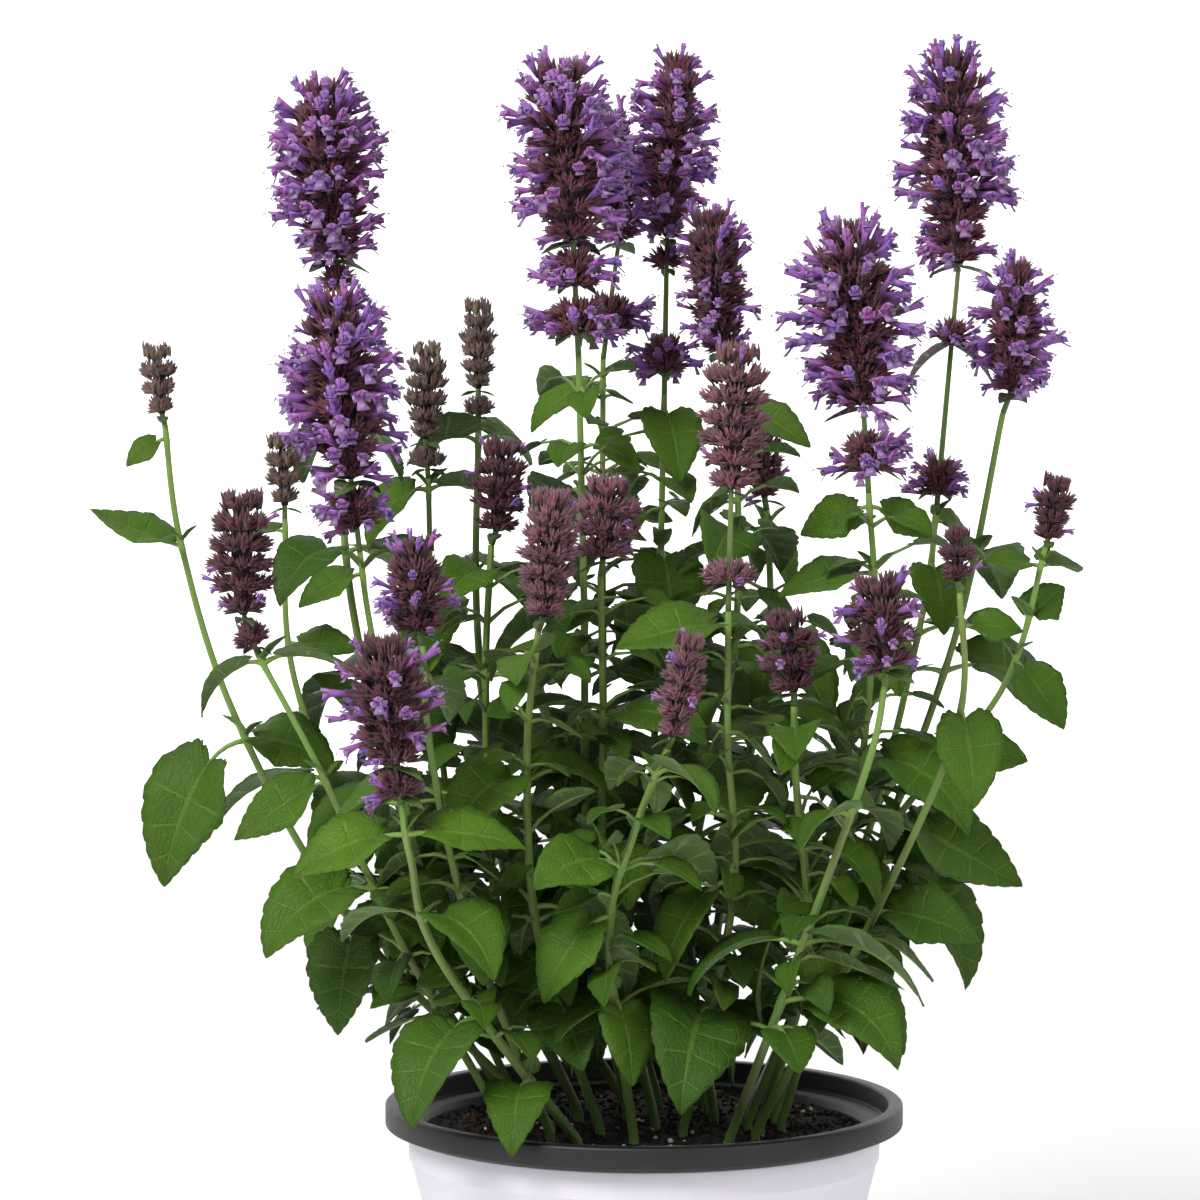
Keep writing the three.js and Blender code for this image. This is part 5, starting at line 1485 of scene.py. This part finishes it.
def grain_of(tree, millimetres, detail=3.0, roughness=0.6):
    """Noise with patches of about this size."""
    place = add_node(tree, "ShaderNodeTexCoord").outputs["Object"]
    return add_node(tree, "ShaderNodeTexNoise", {
        "Vector": place, "Scale": 1000 / millimetres, "Detail": detail, "Roughness": roughness}).outputs[0]


def bumped(tree, height, depth):
    """A normal from a height pattern, as deep as this many millimetres."""
    return add_node(tree, "ShaderNodeBump", {
        "Height": height, "Distance": depth * MM, "Strength": 1.0}).outputs[0]


# Meshes of the net along a blade and on each side of its midrib, about 2.2 mm on a middling blade
NET_ALONG = 16
NET_ACROSS = 6


def leaf_veins(tree, share, across, width):
    """1 on the midrib and on the lateral veins of a blade, 0 between them."""
    side = math_node(tree, "ABSOLUTE", across)
    midrib = stepped(tree, side, 1.6 * width, 0.5 * width)
    wave = math_node(tree, "PINGPONG", math_node(tree, "MULTIPLY", share, float(LATERAL_VEINS)), 0.5)
    lateral = stepped(tree, wave, width, 0.3 * width)
    lateral = math_node(tree, "MULTIPLY", lateral, stepped(tree, side, 1.0, 0.55))
    return math_node(tree, "MAXIMUM", midrib, lateral)


def leaf_net(tree, share, across):
    """The net of small veins, drawn coarser than the real net of about 0.8 mm."""
    along = math_node(tree, "MULTIPLY", share, float(NET_ALONG))
    sideways = math_node(tree, "MULTIPLY", across, float(NET_ACROSS))
    place = add_node(tree, "ShaderNodeCombineXYZ", {0: along, 1: sideways})
    cells = add_node(tree, "ShaderNodeTexVoronoi", {"Vector": place.outputs[0], "Scale": 1.0},
                     feature="DISTANCE_TO_EDGE", voronoi_dimensions="2D")
    return stepped(tree, cells.outputs["Distance"], 0.14, 0.0)


def leaf_upper_finish():
    """Upper side of a hyssop leaf: dull fresh green, paler along the veins. Leaves of low tone, low on their
    stems, are darker with painted shade; young ones are paler.
    """
    finish, tree = new_finish("leaf_upper_side")
    share, across, tone = mark_of(tree)
    veins = leaf_veins(tree, share, across, 0.06)
    net = leaf_net(tree, share, across)
    patches = math_node(tree, "MULTIPLY", stepped(tree, grain_of(tree, 16), 0.4, 0.7), 0.5)
    # The dark end is painted shade, the green of a leaf in the shade; the light end is the paler green of
    # young leaves.
    green = blend(tree, tone, 0x1d3a09, 0x50740f)
    green = blend(tree, patches, green, 0x33560d)
    green = blend(tree, math_node(tree, "MULTIPLY", net, 0.12), green, 0x668a2c)
    green = blend(tree, math_node(tree, "MULTIPLY", veins, 0.16), green, 0x86a048)
    height = math_node(tree, "MULTIPLY_ADD", net, -0.6, math_node(tree, "MULTIPLY", veins, -1.0))
    end_finish(tree, green, 0.6, bumped(tree, height, 0.3), IOR=1.33)
    return finish


def leaf_under_finish():
    """Under side of a hyssop leaf: greyish green with raised veins and a bloom of fine down."""
    finish, tree = new_finish("leaf_under_side")
    share, across, tone = mark_of(tree)
    veins = leaf_veins(tree, share, across, 0.11)
    net = leaf_net(tree, share, across)
    # Darker on leaves of low tone, low on their stems: painted shade, as on the upper side.
    green = blend(tree, tone, 0x2f4c1a, 0x567630)
    green = blend(tree, math_node(tree, "MULTIPLY", net, 0.2), green, 0x6e8a48)
    green = blend(tree, math_node(tree, "MULTIPLY", veins, 0.4), green, 0x86a060)
    height = math_node(tree, "MULTIPLY_ADD", net, 0.5, veins)
    end_finish(tree, green, 0.7, bumped(tree, height, 0.4), IOR=1.4, Sheen_Weight=0.12)
    return finish


def stem_finish():
    """Green stem, darker towards its foot with painted shade, flushed with brown-purple here and there, with
    fine grooves.
    """
    finish, tree = new_finish("green_stem")
    share, _, tone = mark_of(tree)
    flush = stepped(tree, grain_of(tree, 30), 0.5, 0.75)
    # Darker green towards the foot of each stem and stalk: painted shade under the leaves and flowers.
    green = blend(tree, share, 0x3c5a18, 0x648432)
    green = blend(tree, math_node(tree, "MULTIPLY", flush, tone), green, 0x6d5a3e)
    green = blend(tree, math_node(tree, "MULTIPLY", grain_of(tree, 2.5), 0.2), green, 0x93ab64)
    end_finish(tree, green, 0.5, bumped(tree, grain_of(tree, 1.2), 0.12), IOR=1.42, Sheen_Weight=0.1)
    return finish


def calyx_finish(name, foot, middle, tip):
    """A downy ribbed calyx, coloured from its foot to its teeth."""
    finish, tree = new_finish(name)
    reach, _, tone = mark_of(tree)
    colour = blend(tree, stepped(tree, reach, 0.05, 0.45), foot, middle)
    colour = blend(tree, stepped(tree, reach, 0.5, 1.0), colour, tip)
    colour = blend(tree, math_node(tree, "MULTIPLY", tone, 0.55), colour, 0x1c0e16)
    colour = blend(tree, stepped(tree, grain_of(tree, 3), 0.55, 0.75), colour, tip)
    end_finish(tree, colour, 0.68, bumped(tree, grain_of(tree, 0.6), 0.1), IOR=1.4, Sheen_Weight=0.2)
    return finish


def corolla_finish():
    """Violet corolla with lilac stamens: painted shade darkens the foot of its tube inside the calyx, and a
    painted highlight makes its lobes' ends paler.
    """
    finish, tree = new_finish("violet_corolla")
    reach, part, tone = mark_of(tree)
    petal = blend(tree, tone, 0x7c52a4, 0x9c569c)
    # Darker towards the tube's foot, inside the calyx: painted shade.
    colour = blend(tree, stepped(tree, reach, 0.0, 0.7), 0x5c3068, petal)
    # Paler at the lobes' ends: painted highlight.
    colour = blend(tree, stepped(tree, reach, 0.85, 1.05), colour, 0xb894cc)
    colour = blend(tree, stepped(tree, part, 0.5, 1.0), colour, 0x9a7ab8)
    colour = blend(tree, stepped(tree, part, 1.5, 2.0), colour, 0x8a76a8)
    end_finish(tree, colour, 0.55, bumped(tree, grain_of(tree, 0.8), 0.08), IOR=1.38, Sheen_Weight=0.15)
    return finish


def core_finish(name, colour):
    """The heart of a spike, near black: painted shade deep among its calyces."""
    finish, tree = new_finish(name)
    shade = blend(tree, grain_of(tree, 1.6), 0x120a0e, colour)
    end_finish(tree, shade, 0.85, bumped(tree, grain_of(tree, 1.0), 0.5))
    return finish


def bract_finish(name, colour):
    """A small leaf in a spike, dull and veined."""
    finish, tree = new_finish(name)
    share, across, tone = mark_of(tree)
    veins = leaf_veins(tree, share, across, 0.12)
    shade = blend(tree, tone, colour, 0x4c6a2c)
    shade = blend(tree, math_node(tree, "MULTIPLY", veins, 0.4), shade, 0x8a9a68)
    end_finish(tree, shade, 0.62, bumped(tree, veins, -0.2), IOR=1.42)
    return finish


def plastic_finish(name, colour, worn, roughness):
    """Moulded pot plastic with a fine texture."""
    finish, tree = new_finish(name)
    shade = blend(tree, stepped(tree, grain_of(tree, 35), 0.4, 0.8), colour, worn)
    rough = math_node(tree, "MULTIPLY_ADD", grain_of(tree, 9), 0.15, roughness)
    end_finish(tree, shade, rough, bumped(tree, grain_of(tree, 0.7), 0.03), IOR=1.49)
    return finish


def peat_finish(name, dark, light):
    """Damp peat with paler fibres."""
    finish, tree = new_finish(name)
    shade = blend(tree, stepped(tree, grain_of(tree, 2.2, 6.0, 0.7), 0.4, 0.7), dark, light)
    end_finish(tree, shade, 0.9, bumped(tree, grain_of(tree, 0.9, 6.0, 0.75), 0.6), IOR=1.35)
    return finish


def perlite_finish():
    """Perlite: white, pitted and dusted with peat."""
    finish, tree = new_finish("perlite")
    dust = stepped(tree, grain_of(tree, 1.6), 0.5, 0.75)
    shade = blend(tree, dust, 0xc9c5bb, 0x5a4c3e)
    end_finish(tree, shade, 0.85, bumped(tree, grain_of(tree, 0.4), 0.2))
    return finish


def bark_finish():
    """Bark bits: layered brown."""
    finish, tree = new_finish("pine_bark")
    shade = blend(tree, stepped(tree, grain_of(tree, 1.5, 5.0, 0.7), 0.35, 0.7), 0x2a1a10, 0x6d4426)
    end_finish(tree, shade, 0.8, bumped(tree, grain_of(tree, 0.8), 0.35))
    return finish


# Assembly

def make_finishes():
    """Every finish by name. Three colours of a calyx go from its foot to its teeth."""
    return {
        "upper": leaf_upper_finish(),
        "under": leaf_under_finish(),
        "stem": stem_finish(),
        "ripe_calyx": calyx_finish("violet_calyx", 0x40302a, 0x581e2c, 0x7a3a50),
        "dark_calyx": calyx_finish("maroon_calyx", 0x44362a, 0x4a1a26, 0x6c3040),
        "dry_calyx": calyx_finish("faded_calyx", 0x6a5440, 0x703c46, 0x946070),
        "bud_calyx": calyx_finish("bud_calyx", 0x7a7a4a, 0x745e4a, 0x643e4c),
        "corolla": corolla_finish(),
        "core": core_finish("spike_core_painted_shade", 0x33202c),
        "bract": bract_finish("spike_bract", 0x3c2838),
        "white": plastic_finish("white_pot_plastic", 0xd2cfd8, 0xccc9d3, 0.35),
        "black": plastic_finish("black_pot_plastic", 0x060607, 0x0d0d0e, 0.42),
        "peat": peat_finish("damp_peat", 0x0a0705, 0x1c140e),
        "peat_crumbs": peat_finish("peat_crumb", 0x140d09, 0x35261b),
        "perlite": perlite_finish(),
        "bark": bark_finish(),
    }


def make_trees(finishes):
    """A node tree for each finish that repeats."""
    trees = {"rod": rod_tree(finishes["stem"])}
    for name in ("ripe_calyx", "dark_calyx", "dry_calyx", "bud_calyx", "corolla"):
        trees[name] = floret_tree(finishes[name])
    for name in ("peat_crumbs", "perlite", "bark"):
        trees[name] = scatter_tree(finishes[name])
    return trees


def build_pots_and_soil(finishes, trees):
    """The white pot, the black pot in it and the peat with its crumbs."""
    pot = white_pot().mesh("white_pot", MM)
    show("white_pot", pot, [finishes["white"]], "white_pot", "cover_pot")
    pot = drilled(black_pot().mesh("black_pot", MM))
    show("black_pot", pot, [finishes["black"]], "black_pot", "grow_pot")
    peat = peat_body()
    strew(peat, trees)
    peat_finishes = [finishes[name] for name in ("peat", "peat_crumbs", "perlite", "bark")]
    show("peat_soil", peat.mesh("peat_soil", MM), peat_finishes, "peat_soil", "soil")


def build_plant(finishes, trees):
    """A leafy stem and a flower spike for each row of the table."""
    florets = {
        "calyx": [source_object("calyx", calyx_shape(bend)) for bend in CALYX_BENDS],
        "corolla": [source_object("corolla", corolla_shape(bend, gape)) for bend, gape in COROLLA_BENDS],
    }
    stem_finishes = [finishes[name] for name in ("upper", "under", "stem")]
    paths = [stem_path(stem) for stem in STEMS]
    leaves = place_shoot_leaves(paths, place_leaves(paths))
    for number, (stem, path) in enumerate(zip(STEMS, paths), 1):
        own = [leaf for leaf in leaves if leaf["stem"] == number]
        name = f"leafy_stem_{number:02d}"
        mesh = leafy_stem(number, stem, path, own, trees["rod"]).mesh(name, MM)
        show(name, mesh, stem_finishes, "leaf_and_stem", f"stem_{number:02d}")
        kind = KINDS[stem.kind]
        spike_finishes = [finishes[part] for part in ("stem", kind.finish, "corolla", "core", "bract")]
        name = f"flower_spike_{number:02d}"
        mesh = flower_spike(number, stem, trees, florets).mesh(name, MM)
        show(name, mesh, spike_finishes, kind.slot, f"head_{number:02d}")
    for source in SOURCES:
        bpy.data.objects.remove(source)


# Stage: the camera in millimetres and degrees, the rest in metres

CAMERA_PLACE = (-16.17, -1500, 401.2)
CAMERA_TILT = 90 - 3.135
CAMERA_LENS = 123.369
FLOOR_SIZE = 6.0
BACKDROP_PLACE = 2.4
BACKDROP_HEIGHT = 4.0
SURROUND_STRENGTH = 0.4
FLOOR_GLOW = 0.1
BACKDROP_GLOW = 0.8
# Lights: place and size in metres, power in watts. They aim at a height of 0.3 m.
KEY_LIGHT = ((-0.9, -1.3, 1.5), 0.9, 38)
FILL_LIGHT = ((1.2, -1.0, 0.8), 1.0, 6)
LIGHT_AIM = Vector((0, 0, 0.3))


def add_panel(name, corners, colour, glow):
    """A flat panel of the stage, plain and faintly lit from within."""
    mesh = bpy.data.meshes.new(name)
    mesh.from_pydata(corners, [], [(0, 1, 2, 3)])
    finish, tree = new_finish(f"{name}_paper")
    end_finish(tree, linear(colour), 0.9, Emission_Color=linear(0xffffff), Emission_Strength=glow)
    mesh.materials.append(finish)
    panel = bpy.data.objects.new(name, mesh)
    bpy.context.scene.collection.objects.link(panel)


def add_camera():
    """The camera at the photo's angle."""
    camera = bpy.data.cameras.new("photo camera")
    camera.lens = CAMERA_LENS
    seat = bpy.data.objects.new("photo camera", camera)
    seat.location = [v * MM for v in CAMERA_PLACE]
    seat.rotation_euler = (math.radians(CAMERA_TILT), 0, 0)
    bpy.context.scene.collection.objects.link(seat)
    bpy.context.scene.camera = seat


def set_stage():
    """A pale floor, a lit white wall, a white surround and soft light from the front left."""
    half, far, top = FLOOR_SIZE / 2, BACKDROP_PLACE, BACKDROP_HEIGHT
    floor = [(-half, -half, 0), (half, -half, 0), (half, half, 0), (-half, half, 0)]
    wall = [(-half, far, 0), (half, far, 0), (half, far, top), (-half, far, top)]
    add_panel("floor", floor, 0xfbfafb, FLOOR_GLOW)
    add_panel("backdrop", wall, 0xf4f4f4, BACKDROP_GLOW)
    world = bpy.data.worlds.new("surround")
    world.use_nodes = True
    world.node_tree.nodes["Background"].inputs["Color"].default_value = (1, 1, 1, 1)
    world.node_tree.nodes["Background"].inputs["Strength"].default_value = SURROUND_STRENGTH
    bpy.context.scene.world = world
    add_light("key", *KEY_LIGHT)
    add_light("fill", *FILL_LIGHT)
    add_camera()
    bpy.context.scene.view_settings.view_transform = "Standard"


def add_light(name, place, size, power):
    """A round soft light aimed at the plant."""
    lamp = bpy.data.lights.new(name, "AREA")
    lamp.shape = "DISK"
    lamp.size = size
    lamp.energy = power
    light = bpy.data.objects.new(name, lamp)
    light.location = place
    light.rotation_euler = (LIGHT_AIM - Vector(place)).to_track_quat("-Z", "Y").to_euler()
    bpy.context.scene.collection.objects.link(light)


finishes = make_finishes()
trees = make_trees(finishes)
build_pots_and_soil(finishes, trees)
build_plant(finishes, trees)
set_stage()
